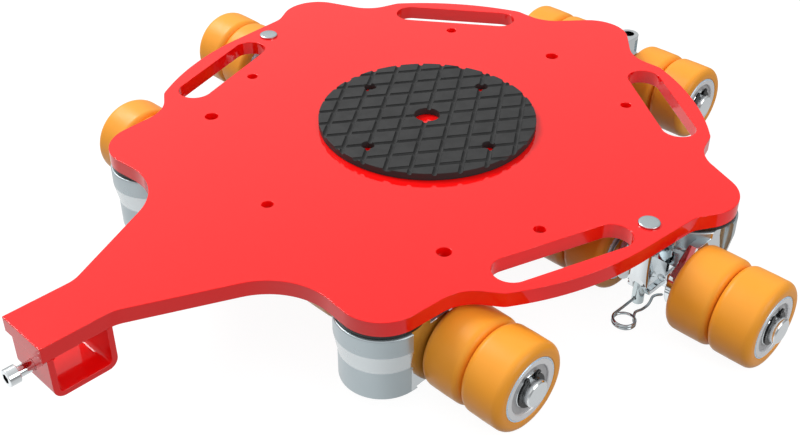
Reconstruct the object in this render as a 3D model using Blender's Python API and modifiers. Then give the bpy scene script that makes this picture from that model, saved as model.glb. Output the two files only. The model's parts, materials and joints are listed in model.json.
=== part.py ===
"""Five-castor load skate: a round steel deck with a rubber load pad, a tow arm and five twin-axle castors.

Frame: metres, +Z up, the origin under the middle of the bounding box on the floor. -X is the tow end.
"""

from math import acos, atan2, ceil, cos, pi, radians, sin, tan

import bmesh
import bpy
from mathutils import Matrix, Vector

MM = 0.001
CLEAR = 0.3 * MM  # gap between faces that rest on each other
RUNNING = 0.35 * MM  # radial clearance of a turning fit
BITE = 1 * MM  # how far shapes that become one solid reach into each other

# Sides of round shapes
TREAD_SIDES = 20
ROUND = 16  # axles, pins and bores
FINE = 24  # hubs and bearings
PAD_SIDES = 48
SMALL = 12  # small holes

# Wheels and axles
WHEEL_RADIUS = 42.5 * MM
WHEEL_WIDTH = 42.8 * MM
WHEEL_SHOULDER = 6 * MM
WHEEL_GAP = 0.8 * MM
TRAIL = 50 * MM
AXLE_RADIUS = 12.5 * MM
AXLE_PROUD = 7.6 * MM  # beyond the outer wheel's face
AXLE_CHAMFER = 1.2 * MM
WHEEL_RECESS_RADIUS = AXLE_RADIUS + 11 * MM
WHEEL_RECESS_DEPTH = 1 * MM
GROOVE_DEPTH = 0.75 * MM
CIRCLIP_THICKNESS = 1.6 * MM
CIRCLIP_RADIUS = AXLE_RADIUS + 3.8 * MM
CIRCLIP_EAR = 3 * MM
CIRCLIP_EAR_ROOM = 2.4  # share of an ear's radius that the ring's rounding leaves to it
CIRCLIP_GAP = radians(32)
CIRCLIP_STEP = radians(20)  # turn between the ring's corners
WHEEL_CORNER = WHEEL_RADIUS / cos(pi / TREAD_SIDES)  # the flats of the tread lie on the wheel's radius

# Lock pin, its hole and its place on the castor
PIN_RADIUS = 5.75 * MM
PIN_HEAD_RADIUS = PIN_RADIUS + 4.15 * MM
PIN_HEAD_HEIGHT = 2.4 * MM
PIN_CHAMFER = 1 * MM
LOCK_HOLE_RADIUS = PIN_RADIUS + 1 * MM
LOCK_RADIUS = TRAIL + AXLE_RADIUS + 12.5 * MM  # lock hole distance from the swivel axis, beyond the axle

# Deck plate
WHEEL_HEADROOM = 5 * MM
DECK_UNDER = 2 * WHEEL_RADIUS + WHEEL_HEADROOM
DECK_THICKNESS = 15 * MM
DECK_TOP = DECK_UNDER + DECK_THICKNESS
CASTOR_CIRCLE = 276.7 * MM  # radius on which the swivel axes stand
CASTOR_STEP = radians(72)
LOBE_RADIUS = 40 * MM  # rounded end of the deck over each castor
LOBE_FLANK = radians(48.6)  # direction in which a lobe's rounding ends
RIM_RADIUS = CASTOR_CIRCLE + 6.3 * MM
FRONT_X = CASTOR_CIRCLE * cos(2 * CASTOR_STEP)  # front swivel axes
FRONT_Y = CASTOR_CIRCLE * sin(2 * CASTOR_STEP)
# Corners of the outline: along, across, fillet. The first three lie beside a castor's own direction.
NOTCH = (CASTOR_CIRCLE - 12.7 * MM, LOBE_RADIUS + 23.5 * MM, 41 * MM)
CORNER = (CASTOR_CIRCLE - 12.2 * MM, LOBE_RADIUS + 61 * MM, 15 * MM)  # where the hollow meets the rim
PIN_NOTCH = (CASTOR_CIRCLE + 11.3 * MM, LOBE_RADIUS + 3.5 * MM, 28 * MM)  # hollow on the lock pin side
SHOULDER = (FRONT_X - 33.6 * MM, FRONT_Y - 69.6 * MM, 67 * MM)  # between front lobes and arm
LOBE_APEX = (FRONT_X - 44.1 * MM, FRONT_Y + 37.9 * MM, 40 * MM)  # outer end of a front lobe
ARM_END = -461 * MM
ARM_HALF_WIDTH = 28.5 * MM
ARM_ROOT = (ARM_END + 66.5 * MM, 32 * MM)  # x, fillet where the arm becomes parallel

# Hand grips and drilled holes in the deck
GRIP_RADIUS = CASTOR_CIRCLE - 28.7 * MM
GRIP_WIDTH = 35 * MM
GRIP_LENGTH = 140 * MM
FIXING_CIRCLE = GRIP_RADIUS - 38 * MM
FIXING_HOLE_RADIUS = 5.5 * MM

# Load pad
PAD_RADIUS = 110 * MM
PAD_HEIGHT = 8 * MM
PAD_CENTRE_HOLE = 13 * MM
PAD_HOLE_CIRCLE = PAD_RADIUS - 27 * MM
PAD_HOLE_RADIUS = 6.7 * MM

# Tow socket under the arm
SOCKET_LENGTH = 60 * MM
SOCKET_HEIGHT = 41 * MM
SOCKET_WALL = 5.5 * MM
SOCKET_CORNER = 10 * MM
SOCKET_SETBACK = 4 * MM
SCREW_RADIUS = 5 * MM
SCREW_CHAMFER = 1 * MM
SCREW_HEAD_RADIUS = SCREW_RADIUS + 3 * MM
SCREW_HEAD_HEIGHT = 10 * MM
SCREW_EXPOSED = 14 * MM
SCREW_INSIDE = 12 * MM
SCREW_DEPTH = SOCKET_HEIGHT / 2 + 0.1 * MM  # below the deck's underside
HEX_KEY_RADIUS = SCREW_RADIUS - 0.4 * MM
HEX_KEY_DEPTH = 5 * MM
SCREW_TIP = ARM_END + SOCKET_SETBACK - SCREW_EXPOSED - SCREW_HEAD_HEIGHT

# Kingpin
KINGPIN_RADIUS = 10 * MM
KINGPIN_ENTRY = 9 * MM  # depth in the deck
KINGPIN_HEAD_RADIUS = KINGPIN_RADIUS + 7.3 * MM
KINGPIN_HEAD_HEIGHT = 12 * MM

# Yoke
YOKE_TOP_GAP = 4.5 * MM  # the thrust bearing fills it
HUB_RADIUS = 41.5 * MM
HUB_LOW_RADIUS = HUB_RADIUS - 3.5 * MM
HUB_BAND_DROP = 18.5 * MM  # height of the wide upper band
HUB_CONE_DROP = 38.5 * MM  # where the taper ends
HUB_BOTTOM = 18 * MM
HUB_CHAMFER = 1.5 * MM
CAVITY_RADIUS = KINGPIN_HEAD_RADIUS + 8.7 * MM
CAVITY_TOP = HUB_BOTTOM + 28 * MM
BEARING_RADIUS = HUB_RADIUS - 1.5 * MM
BEARING_BORE = KINGPIN_RADIUS + 2 * MM
CHEEK_HALF_WIDTH = 35.5 * MM
CHEEK_THICKNESS = 10 * MM
CHEEK_RADIUS = 2 * AXLE_RADIUS
CHEEK_TOP = DECK_UNDER - 11 * MM
CHEEK_LOW = HUB_BOTTOM + 4 * MM  # where its lower edge leaves the hub
CHEEK_SHOULDER = TRAIL - 6 * MM  # where its top edge starts to slope
FLANGE_HALF_WIDTH = HUB_LOW_RADIUS - 0.4 * MM
FLANGE_TOP = WHEEL_RADIUS + 2.5 * MM
WHEEL_CLEARANCE = WHEEL_RADIUS + 8.5 * MM  # radius of the relief cut round the axle
RELIEF_START = -4 * MM  # above the axle the relief is a flat cut from here
RELIEF_RISE = 2 * MM
BLOCK_X = (TRAIL - AXLE_RADIUS + 0.5 * MM, TRAIL + AXLE_RADIUS + 0.5 * MM)  # block round the axle
BLOCK_Z = (WHEEL_RADIUS - 6 * MM, WHEEL_RADIUS + 21 * MM)
WEB_HALF_WIDTH = 9 * MM
NOSE_RADIUS = LOCK_HOLE_RADIUS + 5.25 * MM
NOSE_TOP = DECK_UNDER - 9.5 * MM
NOSE_BOTTOM = HUB_BOTTOM + 12 * MM
TAB_THICKNESS = 5 * MM
TAB_START = HUB_LOW_RADIUS - 18 * MM
POST_START = 5.3 * MM  # beyond the lock hole's centre
SLOPE_TOP = DECK_UNDER - 36 * MM  # height of the sloping underside at the tip
SLOPE_ANGLE = radians(65)

# Lower end of the lock pin, and its R-clip
PIN_BOTTOM = NOSE_BOTTOM - 14 * MM
CLIP_HEIGHT = NOSE_BOTTOM - 7 * MM  # cross hole above the floor
CLIP_WIRE = 1.35 * MM  # radius
CLIP_HOLE = CLIP_WIRE + 0.5 * MM
CLIP_PROUD = 3 * MM  # straight leg beyond the pin
CLIP_RING = 10.15 * MM
CLIP_REACH = 36 * MM  # ring centre before the pin
CLIP_PITCH = 2 * CLIP_WIRE + CLEAR
CLIP_TURNS = 5 / 3
CLIP_RISE = 2.7 * MM  # of the wavy leg from the ring's lowest turn
CLIP_SIDES = 9  # straight pieces in a turn
# The wavy leg round the outside of the pin, as x from the pin's axis and distance from its surface
CLIP_WAVE = [(-20, 5.45), (-12, 7.25), (-3, 7.45), (4, 5.75), (10, 3.85), (15, 4.75), (20, 8.75)]

# Swivel angle on the circle, direction of trail at rest, and whether a lock pin is fitted
CASTORS = {
    "rear": (0, 1, False),
    "mid_left": (-1, -1, True),
    "mid_right": (1, -1, True),
    "front_left": (-2, 1, False),
    "front_right": (2, 1, False),
}
REAR_END = CASTOR_CIRCLE + TRAIL + WHEEL_RADIUS
CENTRE_X = -(SCREW_TIP + REAR_END) / 2  # puts the origin at the middle of the length

MATERIALS = {
    "red_paint": ((0.85, 0.04, 0.04), 0.25, 0.0),
    "pad_rubber": ((0.06, 0.06, 0.06), 0.8, 0.0),
    "tyre": ((0.85, 0.36, 0.06), 0.5, 0.0),
    "zinc": ((0.6, 0.66, 0.68), 0.35, 1.0),
    "bright_steel": ((0.8, 0.83, 0.85), 0.15, 1.0),
    "black_steel": ((0.03, 0.03, 0.03), 0.4, 1.0),
}


def clear_scene():
    """Remove the startup objects."""
    for obj in list(bpy.data.objects):
        bpy.data.objects.remove(obj, do_unlink=True)


def new_collection(name):
    """A collection linked to the scene."""
    made = bpy.data.collections.new(name)
    bpy.context.scene.collection.children.link(made)
    return made


def make_materials():
    """Principled materials from the table of colour, roughness and metallic."""
    for name, (colour, roughness, metallic) in MATERIALS.items():
        material = bpy.data.materials.new(name)
        material.use_nodes = True
        shader = material.node_tree.nodes["Principled BSDF"]
        shader.inputs["Base Color"].default_value = (*colour, 1)
        shader.inputs["Roughness"].default_value = roughness
        shader.inputs["Metallic"].default_value = metallic


def add(name, mesh, material, matrix=None, parent=None):
    """Put a mesh in the model as a named part; matrix is its place in the world."""
    obj = bpy.data.objects.new(name, mesh)
    MODEL.objects.link(obj)
    if not mesh.materials:
        mesh.materials.append(bpy.data.materials[material])
    if parent:
        obj.parent = parent
        obj.matrix_parent_inverse = parent.matrix_world.inverted()
    obj.matrix_world = matrix or Matrix()
    return obj


def helper(mesh, matrix=None):
    """A hidden object that takes part in a Boolean."""
    obj = bpy.data.objects.new("helper", mesh)
    HELPERS.objects.link(obj)
    obj.matrix_world = matrix or Matrix()
    obj.hide_render = True
    obj.display_type = "WIRE"
    return obj


def evaluated_mesh(obj, weld=False):
    """The object's mesh with its modifiers applied, in world space; the object is removed."""
    bpy.context.view_layer.update()
    graph = bpy.context.evaluated_depsgraph_get()
    mesh = bpy.data.meshes.new_from_object(obj.evaluated_get(graph), depsgraph=graph)
    mesh.transform(obj.matrix_world)
    if weld:
        shape = bmesh.new()
        shape.from_mesh(mesh)
        bmesh.ops.remove_doubles(shape, verts=shape.verts, dist=0.01 * MM)
        bmesh.ops.recalc_face_normals(shape, faces=shape.faces)
        shape.to_mesh(mesh)
        shape.free()
    bpy.data.objects.remove(obj, do_unlink=True)
    return mesh


def smooth(mesh):
    """Smooth shading with sharp edges kept."""
    mesh.shade_smooth()
    mesh.set_sharp_from_angle(angle=radians(35))
    return mesh


def turned(profile, sides, turn=0.0, closed=False):
    """A mesh turned about Z from (radius, height) points that run down the outer side."""
    mesh = bpy.data.meshes.new("profile")
    count = len(profile)
    edges = [(i, i + 1) for i in range(count - 1)]
    if closed:
        edges.append((count - 1, 0))
    mesh.from_pydata([(r, 0, z) for r, z in profile], edges, [])
    obj = helper(mesh, Matrix.Rotation(turn, 4, "Z"))
    screw = obj.modifiers.new("Screw", "SCREW")
    screw.angle = 2 * pi
    screw.steps = sides
    screw.render_steps = sides
    screw.use_merge_vertices = True
    screw.merge_threshold = 0.00001
    return evaluated_mesh(obj)


def cylinder(radius, low, high, sides=ROUND, turn=0.0):
    """An upright cylinder mesh between two heights."""
    shape = bmesh.new()
    place = Matrix.Translation((0, 0, (low + high) / 2)) @ Matrix.Rotation(turn, 4, "Z")
    bmesh.ops.create_cone(
        shape,
        cap_ends=True,
        segments=sides,
        radius1=radius,
        radius2=radius,
        depth=high - low,
        matrix=place,
    )
    mesh = bpy.data.meshes.new("cylinder")
    shape.to_mesh(mesh)
    shape.free()
    return mesh


def box(low, high):
    """A box mesh between two corners."""
    shape = bmesh.new()
    size = [b - a for a, b in zip(low, high)]
    middle = [(a + b) / 2 for a, b in zip(low, high)]
    bmesh.ops.create_cube(shape, size=1, matrix=Matrix.Translation(middle) @ Matrix.Diagonal((*size, 1)))
    mesh = bpy.data.meshes.new("box")
    shape.to_mesh(mesh)
    shape.free()
    return mesh


def flat(outline, thickness):
    """A flat solid, centred on z = 0, from a closed outline of (x, y) points."""
    curve = bpy.data.curves.new("outline", "CURVE")
    curve.dimensions = "2D"
    curve.fill_mode = "BOTH"
    curve.extrude = thickness / 2
    spline = curve.splines.new("POLY")
    spline.points.add(len(outline) - 1)
    for point, (x, y) in zip(spline.points, outline):
        point.co = (x, y, 0, 1)
    spline.use_cyclic_u = True
    return evaluated_mesh(helper(curve), weld=True)


def joined(base, unions=(), cuts=()):
    """Base mesh with other meshes added and then cut away by exact Booleans."""
    obj = helper(base)
    for operation, others in (("UNION", unions), ("DIFFERENCE", cuts)):
        for other in others:
            boolean = obj.modifiers.new(operation.title(), "BOOLEAN")
            boolean.operation = operation
            boolean.solver = "EXACT"
            boolean.object = helper(other)
    mesh = evaluated_mesh(obj)
    for used in list(HELPERS.objects):
        bpy.data.objects.remove(used, do_unlink=True)
    return mesh


def moved(mesh, matrix):
    """The mesh carried by a matrix."""
    mesh.transform(matrix)
    return mesh


def arc(centre, radius, start, end, step=radians(14)):
    """Points on an arc, both ends included."""
    count = max(1, ceil(abs(end - start) / step))
    turns = [start + (end - start) * i / count for i in range(count + 1)]
    return [(centre[0] + radius * cos(t), centre[1] + radius * sin(t)) for t in turns]


def rounded(corners):
    """A closed outline whose (x, y, radius) corners are rounded by tangent arcs."""
    outline = []
    for i, (x, y, radius) in enumerate(corners):
        corner = Vector((x, y))
        if not radius:
            outline.append((x, y))
            continue
        before = (Vector(corners[i - 1][:2]) - corner).normalized()
        after = (Vector(corners[(i + 1) % len(corners)][:2]) - corner).normalized()
        half = acos(max(-1.0, min(1.0, before.dot(after)))) / 2
        centre = corner + (before + after).normalized() * radius / sin(half)
        first = corner + before * radius / tan(half) - centre
        last = corner + after * radius / tan(half) - centre
        start = atan2(first.y, first.x)
        sweep = (atan2(last.y, last.x) - start + pi) % (2 * pi) - pi
        outline += arc(centre, radius, start, start + sweep)
    return outline


def turned_point(point, angle):
    """An (x, y) or (x, y, radius) point turned about the deck's centre."""
    x, y = point[:2]
    return (x * cos(angle) - y * sin(angle), x * sin(angle) + y * cos(angle), *point[2:])


def rim(start, end):
    """Corner entries along the round rim between two directions."""
    return [(*point, 0) for point in arc((0, 0), RIM_RADIUS, start, end, radians(6))[1:-1]]


def deck_corners():
    """The deck outline's corners with their radii, on the side from the arm end to the rear lobe."""
    apex = (CASTOR_CIRCLE + LOBE_RADIUS / cos(LOBE_FLANK), 0, LOBE_RADIUS)
    corner_turn = atan2(CORNER[1], CORNER[0])
    ends = (ARM_END, -ARM_HALF_WIDTH, 0), (ARM_ROOT[0], -ARM_HALF_WIDTH, ARM_ROOT[1])
    front = [(x, -y, r) for x, y, r in (SHOULDER, LOBE_APEX)]
    turn = -2 * CASTOR_STEP
    front += [turned_point(p, turn) for p in (NOTCH, CORNER)]
    front += rim(turn + corner_turn, -CASTOR_STEP - corner_turn)
    turn = -CASTOR_STEP
    middle = [turned_point((PIN_NOTCH[0], -PIN_NOTCH[1], PIN_NOTCH[2]), turn)]
    middle += [turned_point(p, turn) for p in (apex, NOTCH, CORNER)]
    middle += rim(turn + corner_turn, -corner_turn)
    rear = [(CORNER[0], -CORNER[1], CORNER[2]), (NOTCH[0], -NOTCH[1], NOTCH[2])]
    return [*ends, *front, *middle, *rear], apex


def swivel_place(castor):
    """(x, y) of a castor's swivel axis from the deck's centre, and its trail direction."""
    step, trail, _ = CASTORS[castor]
    turn = step * CASTOR_STEP
    return CASTOR_CIRCLE * cos(turn), CASTOR_CIRCLE * sin(turn), trail


def lock_place(castor):
    """(x, y) of the deck's lock hole, on the side of the swivel axis that faces the deck's centre line."""
    x, y, _ = swivel_place(castor)
    return x + (LOCK_RADIUS if x < 0 else -LOCK_RADIUS), y


def deck_mesh():
    """The deck plate with its grips, fixing holes, lock holes and blind kingpin holes."""
    half, apex = deck_corners()
    other = [(x, -y, r) for x, y, r in reversed(half)]
    plate = flat(rounded([*half, apex, *other]), DECK_THICKNESS)
    middle = DECK_UNDER + DECK_THICKNESS / 2
    plate = moved(plate, Matrix.Translation((0, 0, middle)))
    low = DECK_UNDER - DECK_THICKNESS
    high = DECK_TOP + DECK_THICKNESS
    cuts = []
    end = (GRIP_LENGTH - GRIP_WIDTH) / 2
    grip = arc((GRIP_RADIUS, end), GRIP_WIDTH / 2, 0, pi, radians(26))
    grip += arc((GRIP_RADIUS, -end), GRIP_WIDTH / 2, pi, 2 * pi, radians(26))
    for step in (-1.5, -0.5, 0.5, 1.5):
        turn = Matrix.Rotation(step * CASTOR_STEP, 4, "Z") @ Matrix.Translation((0, 0, middle))
        cuts.append(moved(flat(grip, 3 * DECK_THICKNESS), turn))
    for step in (-1.5, -0.5, 0.5, 1.5, 2.5):
        x, y = turned_point((FIXING_CIRCLE, 0), step * CASTOR_STEP)
        cuts.append(moved(cylinder(FIXING_HOLE_RADIUS, low, high, SMALL), Matrix.Translation((x, y, 0))))
    for castor in CASTORS:
        x, y = lock_place(castor)
        cuts.append(moved(cylinder(LOCK_HOLE_RADIUS, low, high, SMALL), Matrix.Translation((x, y, 0))))
        x, y, _ = swivel_place(castor)
        top = DECK_UNDER + KINGPIN_ENTRY
        bore = cylinder(KINGPIN_RADIUS + RUNNING, low, top + CLEAR)
        cuts.append(moved(bore, Matrix.Translation((x, y, 0))))
    return joined(plate, cuts=cuts)


def pad_mesh():
    """The round rubber pad with a centre hole and four smaller holes."""
    low = DECK_TOP + CLEAR
    high = DECK_TOP + PAD_HEIGHT
    cuts = [cylinder(PAD_CENTRE_HOLE, low - PAD_HEIGHT, high + PAD_HEIGHT)]
    for turn in range(4):
        x, y = turned_point((PAD_HOLE_CIRCLE, 0), turn * pi / 2)
        hole = cylinder(PAD_HOLE_RADIUS, low - PAD_HEIGHT, high + PAD_HEIGHT, SMALL)
        cuts.append(moved(hole, Matrix.Translation((x, y, 0))))
    return joined(cylinder(PAD_RADIUS, low, high, PAD_SIDES), cuts=cuts)


def socket_mesh():
    """The tow socket: a U-shaped channel under the arm, open along Y, with a hole for the clamp screw."""
    top = DECK_UNDER - CLEAR
    low = top - SOCKET_HEIGHT
    front = ARM_END + SOCKET_SETBACK
    back = front + SOCKET_LENGTH
    wall = SOCKET_WALL
    outer = [(front, top, 0), (front, low, SOCKET_CORNER), (back, low, SOCKET_CORNER), (back, top, 0)]
    inner = [
        (back - wall, top, 0),
        (back - wall, low + wall, SOCKET_CORNER - wall),
        (front + wall, low + wall, SOCKET_CORNER - wall),
        (front + wall, top, 0),
    ]
    stand = Matrix.Rotation(pi / 2, 4, "X")
    channel = moved(flat(rounded(outer + inner), 2 * ARM_HALF_WIDTH), stand)
    hole = cylinder(SCREW_RADIUS + RUNNING, -wall, 2 * wall, ROUND)
    across = Matrix.Translation((front, 0, screw_height())) @ Matrix.Rotation(pi / 2, 4, "Y")
    return joined(channel, cuts=[moved(hole, across)])


def screw_height():
    """Height of the clamp screw's axis."""
    return DECK_UNDER - SCREW_DEPTH


def screw_mesh():
    """The socket-head clamp screw, turned about X, with a hexagonal key hole."""
    under_head = SCREW_HEAD_HEIGHT
    length = SCREW_HEAD_HEIGHT + SCREW_EXPOSED + SOCKET_WALL + SCREW_INSIDE
    chamfer = SCREW_CHAMFER
    profile = [
        (0, length),
        (SCREW_RADIUS - chamfer, length),
        (SCREW_RADIUS, length - chamfer),
        (SCREW_RADIUS, under_head),
        (SCREW_HEAD_RADIUS, under_head),
        (SCREW_HEAD_RADIUS, chamfer),
        (SCREW_HEAD_RADIUS - chamfer, 0),
        (0, 0),
    ]
    key = cylinder(HEX_KEY_RADIUS, -HEX_KEY_DEPTH, HEX_KEY_DEPTH, 6)
    screw = joined(turned(profile, ROUND), cuts=[key])
    along = Matrix.Translation((SCREW_TIP, 0, screw_height())) @ Matrix.Rotation(pi / 2, 4, "Y")
    return moved(screw, along)


def wheel_mesh():
    """A wheel about Y, its outer face towards +Y, with a flat of the tread straight down."""
    half = WHEEL_WIDTH / 2
    bore = (AXLE_RADIUS + CLEAR) / cos(pi / TREAD_SIDES)
    shoulder = WHEEL_SHOULDER
    profile = [
        (bore, half - WHEEL_RECESS_DEPTH),
        (WHEEL_RECESS_RADIUS, half - WHEEL_RECESS_DEPTH),
        (WHEEL_RECESS_RADIUS, half),
        (WHEEL_CORNER - shoulder, half),
        (WHEEL_CORNER, half - shoulder),
        (WHEEL_CORNER, shoulder - half),
        (WHEEL_CORNER - shoulder, -half),
        (bore, -half),
    ]
    wheel = turned(profile, TREAD_SIDES, pi / TREAD_SIDES, closed=True)
    return smooth(moved(wheel, Matrix.Rotation(-pi / 2, 4, "X")))


def axle_end():
    """Half the axle's length."""
    return CHEEK_HALF_WIDTH + 2 * (WHEEL_GAP + WHEEL_WIDTH) + AXLE_PROUD


def groove():
    """The two side distances between which an axle's circlip groove lies."""
    face = axle_end() - AXLE_PROUD - WHEEL_RECESS_DEPTH
    return face + CLEAR / 2, face + 1.5 * CLEAR + CIRCLIP_THICKNESS


def axle_mesh():
    """The axle about Y with a circlip groove near each end."""
    end = axle_end()
    near, far = groove()
    inner = AXLE_RADIUS - GROOVE_DEPTH
    half = [
        (0, end),
        (AXLE_RADIUS - AXLE_CHAMFER, end),
        (AXLE_RADIUS, end - AXLE_CHAMFER),
        (AXLE_RADIUS, far),
        (inner, far),
        (inner, near),
        (AXLE_RADIUS, near),
    ]
    profile = half + [(r, -y) for r, y in reversed(half)]
    axle = turned(profile, ROUND, pi / ROUND)
    return smooth(moved(axle, Matrix.Rotation(-pi / 2, 4, "X")))


def circlip_mesh():
    """An open ring with two ears at the top, centred in the +Y groove."""
    inner = (AXLE_RADIUS - GROOVE_DEPTH + CLEAR) / cos(CIRCLIP_STEP / 2)
    start = pi / 2 + CIRCLIP_GAP / 2
    end = pi / 2 - CIRCLIP_GAP / 2 + 2 * pi
    ear_turn = CIRCLIP_EAR / CIRCLIP_RADIUS
    room = CIRCLIP_EAR_ROOM * ear_turn
    ears = [
        arc(
            (CIRCLIP_RADIUS * cos(turn), CIRCLIP_RADIUS * sin(turn)),
            CIRCLIP_EAR,
            turn + spread[0],
            turn + spread[1],
            radians(60),
        )
        for turn, spread in (
            (start + ear_turn, (-pi / 2, pi / 2)),
            (end - ear_turn, (-pi / 2, pi / 2)),
        )
    ]
    outside = arc((0, 0), CIRCLIP_RADIUS, start + room, end - room, CIRCLIP_STEP)
    inside = arc((0, 0), inner, end, start, CIRCLIP_STEP)
    ring = flat([*ears[0], *outside, *ears[1], *inside], CIRCLIP_THICKNESS)
    near, far = groove()
    stand = Matrix.Translation((0, (near + far) / 2, 0)) @ Matrix.Rotation(pi / 2, 4, "X")
    return moved(ring, stand)


def yoke_mesh():
    """The castor body about its swivel axis, trailing towards +X, with the floor at z = 0."""
    top = DECK_UNDER - YOKE_TOP_GAP
    hub = turned(
        [
            (0, top),
            (HUB_RADIUS - HUB_CHAMFER, top),
            (HUB_RADIUS, top - HUB_CHAMFER),
            (HUB_RADIUS, top - HUB_BAND_DROP),
            (HUB_LOW_RADIUS, top - HUB_CONE_DROP),
            (HUB_LOW_RADIUS, HUB_BOTTOM + HUB_CHAMFER),
            (HUB_LOW_RADIUS - HUB_CHAMFER, HUB_BOTTOM),
            (0, HUB_BOTTOM),
        ],
        FINE,
        pi / FINE,
    )
    reach = LOCK_RADIUS
    flange = FLANGE_HALF_WIDTH
    sides = [box((0, -flange, HUB_BOTTOM + CLEAR), (TRAIL / 2, flange, FLANGE_TOP))]
    cheek = [(BITE, CHEEK_TOP), (BITE, CHEEK_LOW)]
    cheek += arc((TRAIL, WHEEL_RADIUS), CHEEK_RADIUS, radians(-90), radians(40), radians(18.6))
    cheek.append((CHEEK_SHOULDER, CHEEK_TOP))
    for side in (-1, 1):
        plate = moved(flat(cheek, CHEEK_THICKNESS), Matrix.Rotation(pi / 2, 4, "X"))
        away = side * (CHEEK_HALF_WIDTH - CHEEK_THICKNESS / 2)
        sides.append(moved(plate, Matrix.Translation((0, away, 0))))
    inner = CHEEK_HALF_WIDTH - CHEEK_THICKNESS + BITE
    sides.append(box((BLOCK_X[0], -inner, BLOCK_Z[0]), (BLOCK_X[1], inner, BLOCK_Z[1])))
    web = WEB_HALF_WIDTH
    web_end = reach + POST_START + BITE
    sides.append(box((BITE, -web, NOSE_BOTTOM + BITE), (web_end, web, NOSE_TOP - BITE)))
    for low, high in ((NOSE_BOTTOM, NOSE_BOTTOM + TAB_THICKNESS), (NOSE_TOP - TAB_THICKNESS, NOSE_TOP)):
        sides.append(box((TAB_START, -NOSE_RADIUS, low), (reach, NOSE_RADIUS, high)))
    nose = cylinder(NOSE_RADIUS, NOSE_BOTTOM, NOSE_TOP, ROUND, pi / ROUND)
    nose = moved(nose, Matrix.Translation((reach, 0, 0)))
    relief_low = NOSE_BOTTOM + TAB_THICKNESS
    relief_high = NOSE_TOP - TAB_THICKNESS
    reliefs = []
    for side in (-1, 1):
        across = sorted((side * web, side * 2 * web))
        reliefs.append(
            box(
                (reach - 2 * NOSE_RADIUS, across[0], relief_low),
                (reach + POST_START, across[1], relief_high),
            )
        )
    sides.append(joined(nose, cuts=reliefs))
    return joined(hub, unions=sides, cuts=yoke_cuts())


def yoke_cuts():
    """What is cut from the yoke: wheel relief, axle bore, kingpin bore, cavity, lock hole, sloping nose."""
    cuts = []
    lie = Matrix.Translation((TRAIL, 0, WHEEL_RADIUS)) @ Matrix.Rotation(pi / 2, 4, "X")
    outside = CHEEK_HALF_WIDTH
    for side in (-1, 1):
        depth = sorted((side * outside, side * 2 * outside))
        cuts.append(moved(cylinder(WHEEL_CLEARANCE, *depth, FINE), lie))
        low = (RELIEF_START, depth[0], WHEEL_RADIUS + RELIEF_RISE)
        cuts.append(box(low, (2 * TRAIL, depth[1], DECK_TOP)))
    cuts.append(moved(cylinder(AXLE_RADIUS + RUNNING, -2 * outside, 2 * outside, ROUND, pi / ROUND), lie))
    bore = (KINGPIN_RADIUS + CLEAR) / cos(pi / ROUND)
    cuts.append(cylinder(bore, HUB_BOTTOM, DECK_TOP))
    cuts.append(cylinder(CAVITY_RADIUS, 0, CAVITY_TOP))
    hole = cylinder(LOCK_HOLE_RADIUS, HUB_BOTTOM, DECK_TOP, SMALL)
    cuts.append(moved(hole, Matrix.Translation((LOCK_RADIUS, 0, 0))))
    size = LOCK_RADIUS
    wedge = box((0, -size, -size), (size, size, size))
    tip = Matrix.Translation((LOCK_RADIUS + NOSE_RADIUS, 0, SLOPE_TOP))
    cuts.append(moved(wedge, tip @ Matrix.Rotation(pi / 2 - SLOPE_ANGLE, 4, "Y")))
    return cuts


def kingpin_mesh():
    """The hexagon bolt on which a yoke turns, its head in the hub's cavity."""
    head_top = CAVITY_TOP - CLEAR
    head_low = head_top - KINGPIN_HEAD_HEIGHT
    top = DECK_UNDER + KINGPIN_ENTRY
    shank = cylinder(KINGPIN_RADIUS, head_low + BITE, top)
    return joined(cylinder(KINGPIN_HEAD_RADIUS, head_low, head_top, 6), unions=[shank])


def bearing_mesh():
    """The sealed thrust bearing between the deck and a yoke."""
    low = DECK_UNDER - YOKE_TOP_GAP + CLEAR
    high = DECK_UNDER - CLEAR
    profile = [(BEARING_BORE, high), (BEARING_RADIUS, high), (BEARING_RADIUS, low), (BEARING_BORE, low)]
    return smooth(turned(profile, FINE, closed=True))


def pin_mesh():
    """A lock pin with a low round head and a cross hole for its clip, about its own axis."""
    head = DECK_TOP + CLEAR
    low = PIN_BOTTOM
    profile = [
        (0, head + PIN_HEAD_HEIGHT),
        (PIN_HEAD_RADIUS - PIN_CHAMFER, head + PIN_HEAD_HEIGHT),
        (PIN_HEAD_RADIUS, head + PIN_HEAD_HEIGHT - PIN_CHAMFER),
        (PIN_HEAD_RADIUS, head),
        (PIN_RADIUS, head),
        (PIN_RADIUS, low + PIN_CHAMFER),
        (PIN_RADIUS - PIN_CHAMFER, low),
        (0, low),
    ]
    hole = cylinder(CLIP_HOLE, -2 * PIN_RADIUS, 2 * PIN_RADIUS, SMALL)
    across = Matrix.Translation((0, 0, CLIP_HEIGHT)) @ Matrix.Rotation(pi / 2, 4, "Y")
    return smooth(joined(turned(profile, ROUND), cuts=[moved(hole, across)]))


def clip_route():
    """Centre line of an R-clip about its pin: straight leg, ring, then the wavy leg."""
    ring = (-CLIP_REACH, -CLIP_RING)
    route = [(PIN_RADIUS + CLIP_PROUD, 0, CLIP_HEIGHT)]
    steps = round(CLIP_SIDES * CLIP_TURNS)
    for i in range(steps + 1):
        turn = pi / 2 + i * 2 * pi / CLIP_SIDES
        drop = CLIP_PITCH * i / CLIP_SIDES
        place = (ring[0] + CLIP_RING * cos(turn), ring[1] + CLIP_RING * sin(turn))
        route.append((*place, CLIP_HEIGHT - drop))
    height = CLIP_HEIGHT - CLIP_PITCH * CLIP_TURNS + CLIP_RISE
    route += [(x * MM, -PIN_RADIUS - away * MM, height) for x, away in CLIP_WAVE]
    return route


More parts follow.
